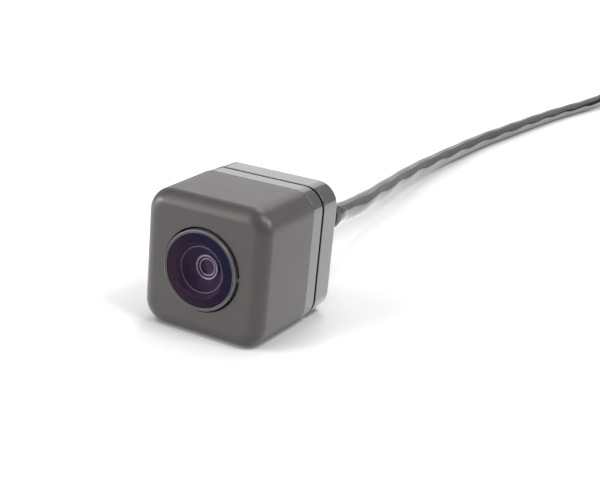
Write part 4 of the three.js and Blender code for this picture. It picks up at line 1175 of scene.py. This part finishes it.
# The floor's colour gets painted shade round the object, closely and more widely, and so does its mirror
# image. Its far part glows, so that it stays white in low views.
CLOSE_SHADE = 0.0009
WIDE_SHADE = 0.009
WIDE_SHADE_LEAST = 0.74
MIRROR_SHADE = 0.0045
MIRROR_GLOW = 1.75
GLOW_NEAR = 0.12
GLOW_FROM = 0.5
GLOW_FULL = 0.9
FLOOR_SIZE = 3.0
LAMP_TARGET = Vector((0, -0.005, 0.012))
LAMP_DISTANCE = 1.5


def light_for_views(tree, camera_strength, mirror_strength, plain_strength):
    """A strength that differs for camera rays, for mirror and glass rays, and for the rest."""
    nodes = tree.nodes
    path = nodes.new("ShaderNodeLightPath")
    mirror = nodes.new("ShaderNodeMath")
    mirror.operation = "MAXIMUM"
    tree.links.new(path.outputs["Is Glossy Ray"], mirror.inputs[0])
    tree.links.new(path.outputs["Is Transmission Ray"], mirror.inputs[1])
    unseen = nodes.new("ShaderNodeMix")
    unseen.data_type = "FLOAT"
    feed(tree, unseen.inputs["A"], plain_strength)
    feed(tree, unseen.inputs["B"], mirror_strength)
    tree.links.new(mirror.outputs[0], unseen.inputs["Factor"])
    strength = nodes.new("ShaderNodeMix")
    strength.data_type = "FLOAT"
    tree.links.new(unseen.outputs["Result"], strength.inputs["A"])
    feed(tree, strength.inputs["B"], camera_strength)
    tree.links.new(path.outputs["Is Camera Ray"], strength.inputs["Factor"])
    return strength.outputs["Result"]


def add_occlusion(tree, distance):
    """How open the sky is over a point of the floor, out to a distance."""
    occlusion = tree.nodes.new("ShaderNodeAmbientOcclusion")
    occlusion.inputs["Distance"].default_value = distance
    return occlusion


def add_floor():
    """A white ground that takes the object's shadow."""
    material = bpy.data.materials.new("floor_white")
    material.use_nodes = True
    tree = material.node_tree
    shader = tree.nodes["Principled BSDF"]
    shader.inputs["Roughness"].default_value = 0.9
    shader.inputs["Specular IOR Level"].default_value = 0.1
    shader.inputs["Emission Color"].default_value = (1, 1, 1, 1)
    # Painted shade: occlusion close round the object and more widely darkens the floor's colour, on top of
    # the lamps' shadows.
    close = add_occlusion(tree, CLOSE_SHADE)
    wide = add_range(tree, add_occlusion(tree, WIDE_SHADE).outputs["AO"], WIDE_SHADE_LEAST, 1.0, 0.5, 1.0)
    tree.links.new(multiply(tree, wide, light_for_views(tree, 1.3, 0.0, 0.86)), close.inputs["Color"])
    tree.links.new(close.outputs["Color"], shader.inputs["Base Color"])
    place = tree.nodes.new("ShaderNodeTexCoord")
    away = tree.nodes.new("ShaderNodeVectorMath")
    away.operation = "LENGTH"
    tree.links.new(place.outputs["Object"], away.inputs[0])
    seen_glow = add_range(tree, away.outputs["Value"], GLOW_NEAR, 1.0, GLOW_FROM, GLOW_FULL)
    # Painted shade in the floor's mirror image: its glow is darkened by occlusion near the object.
    mirror_glow = multiply(tree, add_occlusion(tree, MIRROR_SHADE).outputs["AO"], MIRROR_GLOW)
    glow = light_for_views(tree, seen_glow, mirror_glow, 0.0)
    tree.links.new(glow, shader.inputs["Emission Strength"])
    mesh = bpy.data.meshes.new("floor")
    corners = [(x * FLOOR_SIZE, y * FLOOR_SIZE, 0) for x, y in ((-1, -1), (1, -1), (1, 1), (-1, 1))]
    mesh.from_pydata(corners, [], [(0, 1, 2, 3)])
    mesh.materials.append(material)
    floor = add_object("floor", mesh)
    return floor


def add_world():
    world = bpy.data.worlds.new("studio")
    world.use_nodes = True
    background = world.node_tree.nodes["Background"]
    background.inputs["Color"].default_value = (1, 1, 1, 1)
    strength = light_for_views(world.node_tree, 1.0, 0.69, 0.0)
    world.node_tree.links.new(strength, background.inputs["Strength"])
    bpy.context.scene.world = world


# Softboxes round the head: azimuth from +Y towards +X, elevation, width, height and power
SOFTBOXES = {
    "left_low": (-120, 12, 0.66, 0.36, 11.2),
    "front_left": (-150, 12, 0.66, 0.36, 4.1),
    "left_mid": (-149, 34, 0.6, 0.48, 5.0),
    "left_high": (-130, 55, 0.6, 0.6, 1.8),
    "back_high": (-10, 55, 0.6, 0.6, 5.5),
    "back_low": (-28, 22, 1.0, 0.6, 1.95),
    "right_mid": (65, 32, 0.6, 0.48, 9.3),
    "right_high": (90, 55, 0.6, 0.6, 9.3),
    "right_back": (50, 55, 0.6, 0.6, 1.1),
}


def add_softbox(name, azimuth, elevation, width, height, power):
    data = bpy.data.lights.new(name, "AREA")
    data.shape = "RECTANGLE"
    data.size = width
    data.size_y = height
    data.energy = power
    lamp = add_object(name, data)
    lamp.visible_camera = False
    turn = math.radians(azimuth)
    lift = math.radians(elevation)
    away = Vector((math.sin(turn) * math.cos(lift), math.cos(turn) * math.cos(lift), math.sin(lift)))
    lamp.location = LAMP_TARGET + away * LAMP_DISTANCE
    lamp.rotation_euler = away.to_track_quat("Z", "Y").to_euler()
    return lamp


def spare_floor(lamp, floor):
    """Keeps a low lamp off the floor, where it would cast a long shadow."""
    spared = bpy.data.collections.new(lamp.name + "_spares")
    spared.objects.link(floor)
    spared.collection_objects[0].light_linking.link_state = "EXCLUDE"
    lamp.light_linking.receiver_collection = spared


floor = add_floor()
add_world()
lamps = {name: add_softbox(name, *setting) for name, setting in SOFTBOXES.items()}
spare_floor(lamps["right_mid"], floor)

bpy.context.scene.view_settings.view_transform = "Standard"
